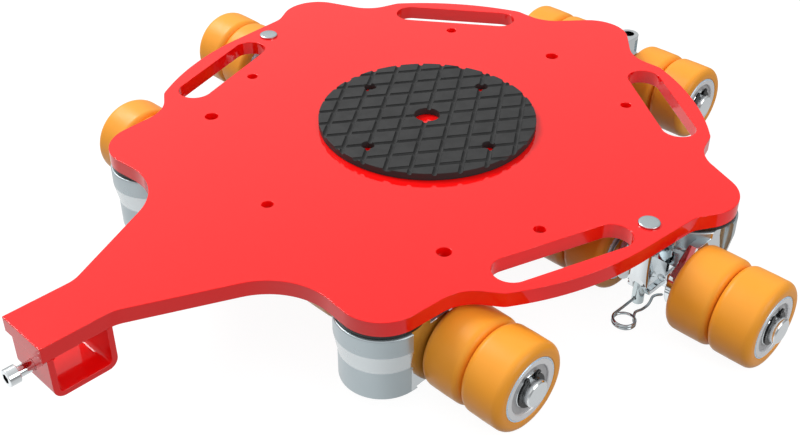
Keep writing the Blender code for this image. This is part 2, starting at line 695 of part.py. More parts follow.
def clip_mesh():
    """The R-clip's wire, swept along its route."""
    curve = bpy.data.curves.new("clip", "CURVE")
    curve.dimensions = "3D"
    curve.bevel_depth = CLIP_WIRE
    curve.bevel_resolution = 1
    curve.use_fill_caps = True
    spline = curve.splines.new("POLY")
    route = clip_route()
    spline.points.add(len(route) - 1)
    for point, place in zip(spline.points, route):
        point.co = (*place, 1)
    return smooth(evaluated_mesh(helper(curve), weld=True))


def build_deck(deck):
    """The deck with what is fixed to it."""
    place = deck.matrix_world.copy()
    add("deck_plate", smooth(deck_mesh()), "red_paint", place, deck)
    add("load_pad", smooth(pad_mesh()), "pad_rubber", place, deck)
    add("tow_socket", smooth(socket_mesh()), "red_paint", place, deck)
    add("tow_clamp_screw", smooth(screw_mesh()), "bright_steel", place, deck)


def build_castors(deck):
    """Five castors; each has an empty on its swivel axis, turned to its trail direction."""
    yoke = smooth(yoke_mesh())
    kingpin = smooth(kingpin_mesh())
    bearing = bearing_mesh()
    axle = axle_mesh()
    circlip = smooth(circlip_mesh())
    wheel = wheel_mesh()
    for castor in CASTORS:
        x, y, trail = swivel_place(castor)
        centre = Matrix.Translation((CENTRE_X + x, y, 0))
        add(f"{castor}_kingpin", kingpin, "bright_steel", centre, deck)
        add(f"{castor}_thrust_bearing", bearing, "black_steel", centre, deck)
        swivel = bpy.data.objects.new(f"{castor}_swivel", None)
        MODEL.objects.link(swivel)
        swivel.matrix_world = centre if trail > 0 else centre @ Matrix.Rotation(pi, 4, "Z")
        bpy.context.view_layer.update()
        add(f"{castor}_yoke", yoke, "zinc", swivel.matrix_world.copy(), swivel)
        hub = centre @ Matrix.Translation((trail * TRAIL, 0, WHEEL_RADIUS))
        add(f"{castor}_axle", axle, "bright_steel", hub, swivel)
        for side, name in ((-1, "left"), (1, "right")):
            flip = Matrix.Rotation(pi if side < 0 else 0, 4, "Z")
            add(f"{castor}_circlip_{name}", circlip, "black_steel", hub @ flip, swivel)
        middle = CHEEK_HALF_WIDTH + WHEEL_GAP + WHEEL_WIDTH / 2
        for number, (side, row) in enumerate(((-1, 1), (-1, 0), (1, 0), (1, 1)), 1):
            away = side * (middle + row * (WHEEL_WIDTH + WHEEL_GAP))
            flip = Matrix.Rotation(pi if side < 0 else 0, 4, "Z")
            place = hub @ Matrix.Translation((0, away, 0)) @ flip
            add(f"{castor}_wheel_{number}", wheel, "tyre", place, swivel)


def build_locks(deck):
    """A lock pin and its clip at each locked castor; the clip's wavy leg faces outwards."""
    for castor, (_, _, locked) in CASTORS.items():
        if not locked:
            continue
        x, y = lock_place(castor)
        place = Matrix.Translation((CENTRE_X + x, y, 0))
        clip = clip_mesh()
        if y > 0:
            clip.transform(Matrix.Diagonal((1, -1, 1, 1)))
            clip.flip_normals()
        add(f"{castor}_lock_pin", pin_mesh(), "zinc", place, deck)
        add(f"{castor}_r_clip", clip, "bright_steel", place, deck)


clear_scene()
MODEL = new_collection("load_skate")
HELPERS = new_collection("helpers")
make_materials()
DECK = bpy.data.objects.new("deck_frame", None)
MODEL.objects.link(DECK)
DECK.matrix_world = Matrix.Translation((CENTRE_X, 0, 0))
bpy.context.view_layer.update()
build_deck(DECK)
build_castors(DECK)
build_locks(DECK)
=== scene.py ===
"""Looks of the five-castor load skate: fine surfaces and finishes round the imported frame.

Metres, +Z up, -X is the tow end. Every surface is a function of two parameters on a grid, or a
profile carried along an outline; a few cast and pressed pieces are then cut with Booleans.
"""

import json
from math import acos, atan2, ceil, cos, pi, radians, sin, tan, tau

import bmesh
import bpy
import numpy as np
from mathutils import Matrix, Vector
from mathutils.geometry import tessellate_polygon


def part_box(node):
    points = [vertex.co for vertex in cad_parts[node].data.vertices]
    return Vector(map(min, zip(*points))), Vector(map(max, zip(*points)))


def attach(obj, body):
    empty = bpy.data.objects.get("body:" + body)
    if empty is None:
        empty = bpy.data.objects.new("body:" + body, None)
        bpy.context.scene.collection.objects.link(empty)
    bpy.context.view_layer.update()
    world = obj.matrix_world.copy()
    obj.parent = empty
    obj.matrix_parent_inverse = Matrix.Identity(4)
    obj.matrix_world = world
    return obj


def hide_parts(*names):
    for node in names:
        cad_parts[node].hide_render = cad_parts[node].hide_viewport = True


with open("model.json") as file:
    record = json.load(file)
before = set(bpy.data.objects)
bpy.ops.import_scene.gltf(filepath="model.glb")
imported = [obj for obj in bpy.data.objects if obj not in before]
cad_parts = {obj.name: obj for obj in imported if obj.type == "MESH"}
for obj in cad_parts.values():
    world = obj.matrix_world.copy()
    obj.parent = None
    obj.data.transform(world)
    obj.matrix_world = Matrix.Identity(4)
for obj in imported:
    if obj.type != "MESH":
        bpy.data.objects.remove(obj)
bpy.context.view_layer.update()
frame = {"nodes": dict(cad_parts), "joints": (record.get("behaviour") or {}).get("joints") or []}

MM = 0.001
CLEAR = 0.3 * MM  # gap that the frame keeps between faces that rest on each other
JOINTS = {joint["name"]: joint for joint in frame["joints"]}
# Direction in which each castor trails along X at rest
CASTORS = {"rear": 1, "mid_left": -1, "mid_right": -1, "front_left": 1, "front_right": 1}
LOCKED = ("mid_left", "mid_right")
STEP = radians(72)

# Places read from the frame
PAD_LOW, PAD_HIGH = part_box("load_pad")
DECK_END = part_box("deck_plate")[0].x
SOCKET_LOW, SOCKET_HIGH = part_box("tow_socket")
SCREW_LOW, SCREW_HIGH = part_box("tow_clamp_screw")
CENTRE_X = (PAD_LOW.x + PAD_HIGH.x) / 2
DECK_TOP = PAD_LOW.z - CLEAR
DECK_UNDER = SOCKET_HIGH.z + CLEAR
ARM_END = DECK_END - CENTRE_X
ARM_HALF_WIDTH = SOCKET_HIGH.y
PAD_RADIUS = (PAD_HIGH.x - PAD_LOW.x) / 2
SWIVEL_CIRCLE = JOINTS["rear_swivel"]["pos_m"][0] - CENTRE_X
HUB_HEIGHT = JOINTS["rear_wheel_1_spin"]["pos_m"][2]
TRAIL = JOINTS["rear_wheel_1_spin"]["pos_m"][0] - JOINTS["rear_swivel"]["pos_m"][0]
WHEEL_FACE = max(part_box("rear_wheel_1")[1].y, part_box("rear_wheel_4")[1].y)
RING_FACE = max(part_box("rear_circlip_left")[0].y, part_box("rear_circlip_right")[0].y)
BEARING_SETBACK = WHEEL_FACE - (RING_FACE - CLEAR)

# Deck outline, about the deck's centre: x, y, fillet
LOBE_RADIUS = 40 * MM
LOBE_FLANK = radians(48.6)
NOTCH = (264 * MM, 63.5 * MM, 41 * MM)
CORNER = (264.5 * MM, 101 * MM, 15 * MM)
PIN_NOTCH = (288 * MM, 43.5 * MM, 28 * MM)
RIM_RADIUS = 283 * MM
SHOULDER = (-257.5 * MM, 93 * MM, 67 * MM)
LOBE_APEX = (-268 * MM, 200.5 * MM, 40 * MM)
ARM_ROOT = (-394.5 * MM, 32 * MM)
DECK_EDGE = 0.6 * MM
GRIP = (248 * MM, 35 * MM, 140 * MM)  # middle radius, width, length
FIXING_CIRCLE = 210 * MM
FIXING_HOLE = 5.5 * MM
LOCK_RADIUS = 75 * MM  # from the swivel axis
LOCK_HOLE = 6.75 * MM

# Pad
GROOVE_TURN = radians(35)
GROOVE_PITCH = 23.4 * MM
GROOVE_RADIUS = 2.5 * MM
PAD_CENTRE_HOLE = 13 * MM
PAD_HOLE_CIRCLE = 83 * MM
PAD_HOLE = 6.7 * MM
PAD_EDGE = 0.6 * MM

# Tow socket and its screw
SOCKET_WALL = 5.5 * MM
SOCKET_CORNER = 10 * MM
SOCKET_EDGE = 0.6 * MM
SCREW_HOLE = 5.35 * MM
SCREW_RADIUS = 5 * MM
SCREW_HEAD = (8 * MM, 10 * MM)  # radius, height
HEX_KEY = (4.6 * MM, 5 * MM)  # radius over the corners, depth

# Wheels and axle
WHEEL_RADIUS = 42.5 * MM
WHEEL_HALF = 21.4 * MM
TYRE_BORE = 30.4 * MM
TYRE_SHOULDER = 7.5 * MM
CORE_BORE = 23.5 * MM
SHIELD_DROP = 1.5 * MM
BOSS_RADIUS = 16.8 * MM
AXLE_RADIUS = 12.5 * MM
AXLE_PROUD = 7.6 * MM  # beyond the outer wheel's face
GROOVE_DEPTH = 0.75 * MM
CIRCLIP_THICKNESS = 1.6 * MM
CIRCLIP_RADIUS = 16.3 * MM
CIRCLIP_EAR = 3 * MM
CIRCLIP_EYE = 1.1 * MM
CIRCLIP_GAP = radians(32)
CIRCLIP_EAR_ROOM = 2.4  # share of an ear's radius that the ring's rounding leaves to it

# Castor housing
THRUST_BEARING = (40 * MM, 12.2 * MM)  # radius, bore
KINGPIN_BORE = 10.3 * MM
HUB_TOP = 85.5 * MM
HUB_BOTTOM = 18 * MM
HUB_RADIUS = 41.5 * MM
HUB_LOW_RADIUS = 38 * MM
TAPER = (HUB_TOP - 38.5 * MM, HUB_TOP - 18.5 * MM)  # bottom and top of the tapered band
CHEEK = (25.5 * MM, 35.5 * MM, 25 * MM, 79 * MM)  # inner, outer, end radius, top
CHEEK_LOW = HUB_BOTTOM + 4 * MM  # where its lower edge leaves the hub
CHEEK_SHOULDER = TRAIL - 6 * MM  # where its top edge starts to slope
FLANGE = (37.6 * MM, 45 * MM)  # half width, top
WHEEL_RELIEF = 51 * MM  # radius of the relief round the axle
RELIEF_START = -4 * MM  # above the axle the relief is a flat cut from here
RELIEF_RISE = 2 * MM
BLOCK = (38 * MM, 63 * MM, 36.5 * MM, 63.5 * MM)  # near, far, bottom, top of the axle block
AXLE_FIT = 0.2 * MM
WEB = 9 * MM  # half width
NOSE = (12 * MM, 30 * MM, 80.5 * MM)  # radius, bottom, top of the lock lug
TAB = 5 * MM  # thickness of the lug's two tabs
POST_START = 5.3 * MM  # from the lock hole to the flat of the post between the tabs
SLOPE = (54 * MM, radians(65))  # height where it meets the nose, angle
CAVITY = (26 * MM, 46 * MM)  # radius, top
GRUB_HOLES = (4 * MM, 14 * MM, 45 * MM)  # radius and depth, distance from the middle, height
HOUSING_EDGE = 0.5 * MM

# Lock pin and clip
PIN_RADIUS = 5.75 * MM
PIN_HEAD = (9.9 * MM, 2.4 * MM)  # radius, height
PIN_CHAMFER = 1 * MM
CLIP_DROP = 82 * MM  # below the deck's top
CLIP_WIRE = 1.35 * MM
CLIP_HOLE = CLIP_WIRE + 0.5 * MM
CLIP_RING = 10.15 * MM
CLIP_REACH = 36 * MM  # from the pin to the ring's middle
CLIP_PITCH = 3 * MM
CLIP_TURNS = 5 / 3
CLIP_RISE = 2.7 * MM
# The wavy leg's knots, in millimetres from the pin's axis
CLIP_WAVE = [(-20, -11.2), (-12, -13), (-3, -13.2), (4, -11.5), (10, -9.6), (15, -10.5), (20, -14.5)]

# Studio. The first two: from, to, level at the first, level at the second
SKY_HEIGHT = (0.05, 0.6, 0.43, 0.95)
SKY_SIDE = (-1.0, 1.0, 0.66, 1.1)
FLOOR_SIZE = 12.0
FLOOR_COLOUR = (0.14, 0.14, 0.14)
FLOOR_GLOW = 0.94
KEY_LAMP = ((-0.3, 2.0, 2.3), 1.2, 46)  # place, size, power
FILL_LAMP = ((0.4, -2.6, 1.4), 1.6, 20)
LAMP_AIM = (0, 0, 0.05)
CAMERA_PLACE = (CENTRE_X - 732.3 * MM, -688.8 * MM, 697.1 * MM)
CAMERA_VIEW = (1, 1, -1)
CAMERA_LENS = 51.49
CAMERA_SENSOR = 36
CAMERA_SHIFT = (0.0040, -0.0015)


# ---------------------------------------------------------------- shapes in numpy


def grid_faces(rows, columns, wrap_rows=False, start=0):
    """Quads of a grid whose columns close on themselves; rows may close too."""
    row = np.arange(rows if wrap_rows else rows - 1)[:, None]
    column = np.arange(columns)[None, :]
    up, along = (row + 1) % rows, (column + 1) % columns
    corners = [row * columns + column, row * columns + along, up * columns + along, up * columns + column]
    return np.stack(corners, -1).reshape(-1, 4) + start


def arc(centre, radius, start, end, step=radians(5)):
    """Points on an arc about a centre, both ends included."""
    turns = np.linspace(start, end, max(2, ceil(abs(end - start) / step) + 1))
    return np.stack([centre[0] + radius * np.cos(turns), centre[1] + radius * np.sin(turns)], -1)


def rounded(corners, step=radians(5)):
    """A closed outline whose (x, y, radius) corners become arcs that touch both sides."""
    runs = []
    for i, (x, y, radius) in enumerate(corners):
        corner = Vector((x, y))
        if not radius:
            runs.append(np.array([[x, y]]))
            continue
        before = (Vector(corners[i - 1][:2]) - corner).normalized()
        after = (Vector(corners[(i + 1) % len(corners)][:2]) - corner).normalized()
        half = acos(max(-1.0, min(1.0, before.dot(after)))) / 2
        centre = corner + (before + after).normalized() * radius / sin(half)
        first = corner + before * radius / tan(half) - centre
        last = corner + after * radius / tan(half) - centre
        start = atan2(first.y, first.x)
        sweep = (atan2(last.y, last.x) - start + pi) % tau - pi
        runs.append(arc(centre, radius, start, start + sweep, step))
    return np.concatenate(runs)


def circle(centre, radius, sides=48):
    """A hole's outline, clockwise."""
    turns = -np.arange(sides) * tau / sides
    return np.stack([centre[0] + radius * np.cos(turns), centre[1] + radius * np.sin(turns)], -1)


def outward(loop):
    """Mitred normals of a closed outline, to the right of its direction."""
    ahead = np.roll(loop, -1, 0) - loop
    ahead /= np.linalg.norm(ahead, axis=1, keepdims=True)
    both = ahead + np.roll(ahead, 1, 0)
    both /= (both**2).sum(1, keepdims=True) / 2
    return np.stack([both[:, 1], -both[:, 0]], -1)


def slab(loops, low, high, edge, steps=4):
    """A plate between two heights: every outline is carried through one profile with quarter-round
    edges, and the two flat faces are filled. Holes run clockwise. Returns points, walls and caps."""
    turns = np.linspace(0, pi / 2, steps + 1)
    inset = edge * (1 - np.sin(turns))
    rise = edge * (1 - np.cos(turns))
    insets = np.concatenate([inset, inset[::-1]])
    heights = np.concatenate([low + rise, high - rise[::-1]])
    points, walls, ends, start = [], [], [], 0
    for loop in loops:
        place = loop[None] - outward(loop)[None] * insets[:, None, None]
        level = np.broadcast_to(heights[:, None, None], (*place.shape[:2], 1))
        points.append(np.concatenate([place, level], -1).reshape(-1, 3))
        walls.append(grid_faces(len(heights), len(loop), start=start))
        ends.append((start, start + (len(heights) - 1) * len(loop), len(loop)))
        start += len(points[-1])
    points = np.concatenate(points)
    caps = []
    for top in (0, 1):
        index = np.concatenate([np.arange(end[top], end[top] + end[2]) for end in ends])
        flat = [[Vector(p) for p in points[end[top] : end[top] + end[2]]] for end in ends]
        corners = index[np.array(tessellate_polygon(flat))]
        a, b, c = (points[corners[:, k], :2] for k in range(3))
        turn = (b - a)[:, 0] * (c - a)[:, 1] - (b - a)[:, 1] * (c - a)[:, 0]
        corners = corners[np.abs(turn) > 1e-14]
        turn = turn[np.abs(turn) > 1e-14]
        wrong = (turn > 0) != bool(top)
        corners[wrong] = corners[wrong][:, ::-1]
        caps.append(corners)
    return points, np.concatenate(walls), np.concatenate(caps)


def revolved(profile, sides=96, closed=False):
    """(radius, height) points that run up the outer side, carried round Z. Returns points and quads."""
    profile = np.asarray(profile, float)
    turns = np.arange(sides) * tau / sides
    ring = np.stack([np.cos(turns), np.sin(turns)], -1)
    points = np.concatenate(
        [
            profile[:, None, :1] * ring[None],
            np.broadcast_to(profile[:, None, 1:], (len(profile), sides, 1)),
        ],
        -1,
    )
    return points.reshape(-1, 3), grid_faces(len(profile), sides, wrap_rows=closed)


def solid(points, quads, flat=None, sharp=35):
    """A mesh from arrays, with its poles merged, shaded smooth with its creases kept."""
    faces = quads.tolist() + ([] if flat is None else flat.tolist())
    mesh = bpy.data.meshes.new("surface")
    mesh.from_pydata(points.tolist(), [], faces)
    shape = bmesh.new()
    shape.from_mesh(mesh)
    bmesh.ops.remove_doubles(shape, verts=shape.verts, dist=0.0001 * MM)
    shape.to_mesh(mesh)
    shape.free()
    return shaded(mesh, sharp)


def shaded(mesh, sharp=32):
    """Smooth shading between faces that meet at less than an angle, with the creases kept."""
    mesh.shade_smooth()
    mesh.set_sharp_from_angle(angle=radians(sharp))
    return mesh


def plate(loops, low, high, edge=0.5 * MM, steps=3):
    """A slab as a mesh."""
    return solid(*slab(loops, low, high, edge, steps))


def turned(profile, sides=96, closed=False, sharp=35):
    """A revolved surface as a mesh."""
    return solid(*revolved(profile, sides, closed), sharp=sharp)


def swept(route, radius, sides=14):
    """A round wire: a circle carried along a smooth path by the turning-free frame, with round ends."""
    ahead = np.gradient(route, axis=0)
    ahead /= np.linalg.norm(ahead, axis=1, keepdims=True)
    across = np.cross(ahead, [0.0, 0.0, 1.0])
    across /= np.linalg.norm(across, axis=1, keepdims=True)
    up = np.cross(across, ahead)
    ends = np.sin(np.linspace(0.1, pi / 2, 4))
    width = np.ones(len(route))
    width[:4], width[-4:] = ends, ends[::-1]
    width[0] = width[-1] = 0
    turns = np.arange(sides) * tau / sides
    ring = np.cos(turns)[None, :, None] * across[:, None] + np.sin(turns)[None, :, None] * up[:, None]
    points = route[:, None] + radius * width[:, None, None] * ring
    return points.reshape(-1, 3), grid_faces(len(route), sides)[:, ::-1]


def through(knots, count):
    """A smooth cubic curve through the knots, whose slope at each knot is that between its
    neighbours, as an array of points."""
    knots = np.asarray(knots, float)
    padded = np.concatenate([2 * knots[:1] - knots[1:2], knots, 2 * knots[-1:] - knots[-2:-1]])
    place = np.linspace(0, len(knots) - 1 - 1e-9, count)
    i = place.astype(int)
    t = (place - i)[:, None]
    a, b, c, d = (padded[i + k] for k in range(4))
    square, cube = 2 * a - 5 * b + 4 * c - d, 3 * b - a - 3 * c + d
    return 0.5 * (2 * b + (c - a) * t + square * t**2 + cube * t**3)


# ---------------------------------------------------------------- meshes and pieces


def evaluated(obj):
    """The object's mesh with its modifiers applied; the object is removed."""
    bpy.context.view_layer.update()
    graph = bpy.context.evaluated_depsgraph_get()
    mesh = bpy.data.meshes.new_from_object(obj.evaluated_get(graph), depsgraph=graph)
    bpy.data.objects.remove(obj, do_unlink=True)
    return mesh


def helper(mesh):
    """A short-lived object round a mesh."""
    obj = bpy.data.objects.new("helper", mesh)
    bpy.context.scene.collection.objects.link(obj)
    return obj


def merged(meshes):
    """One mesh that holds several."""
    shape = bmesh.new()
    for mesh in meshes:
        shape.from_mesh(mesh)
    whole = bpy.data.meshes.new("merged")
    shape.to_mesh(whole)
    shape.free()
    return whole


def cut(base, unions=(), cuts=()):
    """The base mesh joined with some meshes and cut by others, with Booleans."""
    obj = helper(base)
    made = []
    for operation, others in (("UNION", unions), ("DIFFERENCE", cuts)):
        for other in others:
            boolean = obj.modifiers.new(operation, "BOOLEAN")
            boolean.operation = operation
            boolean.solver = "MANIFOLD"
            boolean.object = helper(other)
            made.append(boolean.object)
    mesh = evaluated(obj)
    for other in made:
        bpy.data.objects.remove(other, do_unlink=True)
    return mesh


def eased(mesh, width, angle=30, segments=2):
    """Edges sharper than an angle are rounded, and the result is shaded smooth with its creases kept."""
    obj = helper(mesh)
    bevel = obj.modifiers.new("Edges", "BEVEL")
    bevel.width = width
    bevel.segments = segments
    bevel.limit_method = "ANGLE"
    bevel.angle_limit = radians(angle)
    bevel.use_clamp_overlap = True
    return shaded(evaluated(obj))


def middles(mesh):
    """The middle of every face, and its distance from the Z axis."""
    points = np.zeros(len(mesh.polygons) * 3)
    mesh.polygons.foreach_get("center", points)
    points = points.reshape(-1, 3)
    return points, np.hypot(*points[:, :2].T)


def coated(mesh, index):
    """The mesh with every face given the finish of an index."""
    mesh.polygons.foreach_set("material_index", index.astype(np.int32))
    return mesh


def moved(mesh, matrix):
    """The mesh carried by a matrix."""
    mesh.transform(matrix)
    return mesh


def placed(mesh, matrix):
    """A copy of the mesh carried by a matrix."""
    return moved(mesh.copy(), matrix)


def piece(name, mesh, finishes, body, replaces=()):
    """A finished piece that rides on a body. finishes is one material or a list of them, and each
    face keeps the index that its mesh gave it."""
    obj = bpy.data.objects.new(name, mesh)
    bpy.context.scene.collection.objects.link(obj)
    finishes = finishes if isinstance(finishes, list) else [finishes]
    index = np.zeros(len(mesh.polygons), np.int32)
    mesh.polygons.foreach_get("material_index", index)
    mesh.materials.clear()
    for finish in finishes:
        mesh.materials.append(finish)
    coated(mesh, np.minimum(index, len(finishes) - 1))
    weighted = obj.modifiers.new("Normals", "WEIGHTED_NORMAL")
    weighted.keep_sharp = True
    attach(obj, body)
    if replaces:
        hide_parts(*replaces)
    return obj


# ---------------------------------------------------------------- finishes


def number(tree, operation, a, b=0.0):
    """A Math node's result; each input is a number or a socket."""
    node = tree.nodes.new("ShaderNodeMath")
    node.operation = operation
    for socket, value in zip(node.inputs, (a, b)):
        if isinstance(value, (int, float)):
            socket.default_value = value
        else:
            tree.links.new(value, socket)
    return node.outputs[0]


def eased_range(tree, source, low, high, first, last):
    """A number that goes softly from first to last while the source goes from low to high."""
    node = tree.nodes.new("ShaderNodeMapRange")
    node.interpolation_type = "SMOOTHSTEP"
    for socket, value in zip(node.inputs[1:5], (low, high, first, last)):
        socket.default_value = value
    tree.links.new(source, node.inputs[0])
    return node.outputs[0]


class Finish:
    """A procedural material on Object coordinates, built up from noise layers."""

    def __init__(self, name, colour, roughness, metallic=0.0, **sockets):
        self.material = bpy.data.materials.new(name)
        self.material.use_nodes = True
        self.tree = self.material.node_tree
        self.shader = self.tree.nodes["Principled BSDF"]
        self.place = self.tree.nodes.new("ShaderNodeTexCoord").outputs["Object"]
        self.shader.inputs["Metallic"].default_value = metallic
        self.shader.inputs["Base Color"].default_value = (*colour, 1)
        self.shader.inputs["Roughness"].default_value = roughness
        for socket, value in sockets.items():
            self.shader.inputs[socket.replace("_", " ")].default_value = value
        self.colour = self.rgb(colour)
        self.bump = None

    def rgb(self, colour):
        """A colour as a socket."""
        node = self.tree.nodes.new("ShaderNodeRGB")
        node.outputs[0].default_value = (*colour, 1)
        return node.outputs[0]

    def noise(self, scale, detail=3.0, stretch=(1, 1, 1), rough=0.55):
        """Noise of a scale per metre, stretched along the axes."""
        mapping = self.tree.nodes.new("ShaderNodeMapping")
        mapping.inputs["Scale"].default_value = stretch
        self.tree.links.new(self.place, mapping.inputs["Vector"])
        node = self.tree.nodes.new("ShaderNodeTexNoise")
        node.inputs["Scale"].default_value = scale
        node.inputs["Detail"].default_value = detail
        node.inputs["Roughness"].default_value = rough
        self.tree.links.new(mapping.outputs[0], node.inputs["Vector"])
        return node.outputs["Fac"]

    def ramp(self, source, low, high, first=0.0, last=1.0):
        """A number that goes softly from first to last while the source goes from low to high."""
        return eased_range(self.tree, source, low, high, first, last)

    def tint(self, source, colour):
        """Mix the colour so far towards another, where the source says."""
        node = self.tree.nodes.new("ShaderNodeMix")
        node.data_type = "RGBA"
        factor, before, after = node.inputs[0], node.inputs[6], node.inputs[7]
        self.tree.links.new(source, factor)
        self.tree.links.new(self.colour, before)
        after.default_value = (*colour, 1)
        self.colour = node.outputs[2]
        return self

    def rougher(self, source):
        """Take the roughness from a source."""
        self.tree.links.new(source, self.shader.inputs["Roughness"])
        return self

    def raised(self, source, height):
        """A bump of a height in metres."""
        node = self.tree.nodes.new("ShaderNodeBump")
        node.inputs["Strength"].default_value = 1.0
        node.inputs["Distance"].default_value = height
        self.tree.links.new(source, node.inputs["Height"])
        if self.bump is not None:
            self.tree.links.new(self.bump, node.inputs["Normal"])
        self.bump = node.outputs[0]
        return self

    def done(self):
        """Join colour and bump to the shader and hand over the material."""
        self.tree.links.new(self.colour, self.shader.inputs["Base Color"])
        if self.bump is not None:
            self.tree.links.new(self.bump, self.shader.inputs["Normal"])
        return self.material


def red_paint():
    """Glossy red coat with a faint orange peel and slow changes of depth."""
    finish = Finish("red_powder_coat", (0.97, 0.0045, 0.0045), 0.07)
    finish.tint(finish.ramp(finish.noise(5, 3), 0.35, 0.7, 0, 0.5), (0.93, 0.0035, 0.0035))
    finish.rougher(finish.ramp(finish.noise(14, 3), 0.3, 0.75, 0.05, 0.1))
    return finish.raised(finish.noise(420, 1), 0.0012 * MM).done()


def pad_rubber():
    """Matt black rubber with a fine grain and faintly paler, scuffed patches."""
    finish = Finish("pad_rubber", (0.018, 0.0184, 0.0188), 0.6)
    finish.tint(finish.ramp(finish.noise(40, 5), 0.45, 0.8, 0, 0.3), (0.026, 0.0264, 0.0268))
    finish.tint(finish.ramp(finish.noise(900, 3), 0.55, 0.75, 0, 0.25), (0.04, 0.041, 0.042))
    finish.rougher(finish.ramp(finish.noise(60, 4), 0.3, 0.7, 0.55, 0.75))
    return finish.raised(finish.noise(1100, 3), 0.03 * MM).done()


def tyre():
    """Amber cast polyurethane: faintly cloudy, satin, with fine moulding grain."""
    finish = Finish("tyre_polyurethane", (0.98, 0.385, 0.032), 0.34, IOR=1.38)
    finish.tint(finish.ramp(finish.noise(22, 4), 0.35, 0.75, 0, 0.4), (0.92, 0.35, 0.024))
    finish.tint(finish.ramp(finish.noise(420, 4), 0.6, 0.8, 0, 0.12), (0.97, 0.44, 0.07))
    finish.rougher(finish.ramp(finish.noise(90, 5), 0.3, 0.75, 0.32, 0.42))
    return finish.raised(finish.noise(1300, 2), 0.008 * MM).done()


def cast_housing():
    """Satin silver coat over a casting: fine grain and soft cloudiness."""
    finish = Finish("cast_housing", (0.48, 0.55, 0.58), 0.3, 0.7)
    finish.tint(finish.ramp(finish.noise(45, 5), 0.35, 0.75, 0, 0.3), (0.45, 0.52, 0.55))
    finish.tint(finish.ramp(finish.noise(1200, 3), 0.55, 0.75, 0, 0.2), (0.52, 0.59, 0.62))
    finish.rougher(finish.ramp(finish.noise(30, 3), 0.3, 0.7, 0.27, 0.35))
    return finish.raised(finish.noise(1500, 2), 0.0012 * MM).done()


def turned_band():
    """The tapered band of the housing: the same metal a shade paler, a painted highlight."""
    finish = Finish("turned_band", (0.69, 0.745, 0.765), 0.24, 0.7)
    finish.tint(finish.ramp(finish.noise(60, 4, (1, 1, 30)), 0.4, 0.7, 0, 0.35), (0.66, 0.715, 0.735))
    finish.rougher(finish.ramp(finish.noise(120, 4, (1, 1, 12)), 0.3, 0.7, 0.16, 0.26))
    return finish.done()


def machined():
    """Bright milled faces, nearly mirrors, with faint cutter marks."""
    finish = Finish("machined_face", (0.74, 0.78, 0.8), 0.05, 1.0)
    lines = finish.noise(60, 3, (1, 1, 8))
    finish.tint(finish.ramp(lines, 0.4, 0.7, 0, 0.2), (0.68, 0.72, 0.74))
    finish.rougher(finish.ramp(finish.noise(30, 3), 0.3, 0.7, 0.03, 0.07))
    return finish.done()


def bright_steel():
    """Ground steel with fine turning marks."""
    finish = Finish("bright_steel", (0.84, 0.88, 0.9), 0.1, 1.0)
    lines = finish.noise(300, 3, (1, 12, 1))
    finish.tint(finish.ramp(lines, 0.4, 0.75, 0, 0.25), (0.77, 0.81, 0.83))
    finish.rougher(finish.ramp(finish.noise(160, 4), 0.3, 0.7, 0.06, 0.14))
    return finish.done()


def spring_wire():
    """Drawn spring wire, polished, darkened as a painted reflection of dark surroundings."""
    finish = Finish("spring_wire", (0.5, 0.54, 0.56), 0.06, 1.0)
    finish.tint(finish.ramp(finish.noise(500, 3), 0.4, 0.75, 0, 0.4), (0.4, 0.44, 0.46))
    finish.rougher(finish.ramp(finish.noise(60, 3), 0.3, 0.7, 0.04, 0.09))
    return finish.done()


def core_metal():
    """Pale turned aluminium of the wheel centres."""
    finish = Finish("wheel_core", (0.84, 0.845, 0.86), 0.4, 0.4)
    finish.tint(finish.ramp(finish.noise(500, 3, (1, 3, 1)), 0.4, 0.75, 0, 0.25), (0.78, 0.79, 0.81))
    finish.rougher(finish.ramp(finish.noise(120, 4), 0.3, 0.7, 0.36, 0.48))
    return finish.raised(finish.noise(1400, 2), 0.004 * MM).done()


def core_rim():
    """The bevel round each wheel centre, bright and faintly blue: a painted highlight."""
    finish = Finish("core_rim", (0.62, 0.82, 1.0), 0.3, 0.3)
    finish.tint(finish.ramp(finish.noise(300, 3), 0.4, 0.75, 0, 0.3), (0.56, 0.76, 0.95))
    finish.rougher(finish.ramp(finish.noise(120, 4), 0.3, 0.7, 0.2, 0.32))
    return finish.done()


def zinc_plate():
    """Zinc plating with a soft blue-grey bloom."""
    finish = Finish("zinc_plate", (0.56, 0.635, 0.655), 0.16, 0.95)
    finish.tint(finish.ramp(finish.noise(130, 4), 0.4, 0.75, 0, 0.25), (0.52, 0.595, 0.615))
    finish.rougher(finish.ramp(finish.noise(60, 3), 0.3, 0.7, 0.12, 0.2))
    return finish.raised(finish.noise(1600, 2), 0.0008 * MM).done()


def black_steel():
    """Oiled black spring steel; in the screw's hexagon recess it is painted shade."""
    finish = Finish("black_steel", (0.014, 0.015, 0.016), 0.28, 0.3)
    finish.tint(finish.ramp(finish.noise(700, 3), 0.55, 0.8, 0, 0.4), (0.03, 0.03, 0.033))
    finish.rougher(finish.ramp(finish.noise(300, 3), 0.3, 0.7, 0.22, 0.36))
    return finish.raised(finish.noise(1500, 2), 0.004 * MM).done()


def seal():
    """Grey bearing shield."""
    finish = Finish("bearing_shield", (0.5, 0.5, 0.51), 0.4, 0.3)
    finish.tint(finish.ramp(finish.noise(600, 3), 0.5, 0.8, 0, 0.3), (0.44, 0.445, 0.45))
    finish.rougher(finish.ramp(finish.noise(200, 3), 0.3, 0.7, 0.35, 0.5))
    return finish.raised(finish.noise(1500, 2), 0.004 * MM).done()


FINISHES = {
    make.__name__: make()
    for make in (
        red_paint,
        pad_rubber,
        tyre,
        cast_housing,
        turned_band,
        machined,
        bright_steel,
        spring_wire,
        core_metal,
        core_rim,
        zinc_plate,
        black_steel,
        seal,
    )
}


# ---------------------------------------------------------------- deck, pad and tow socket


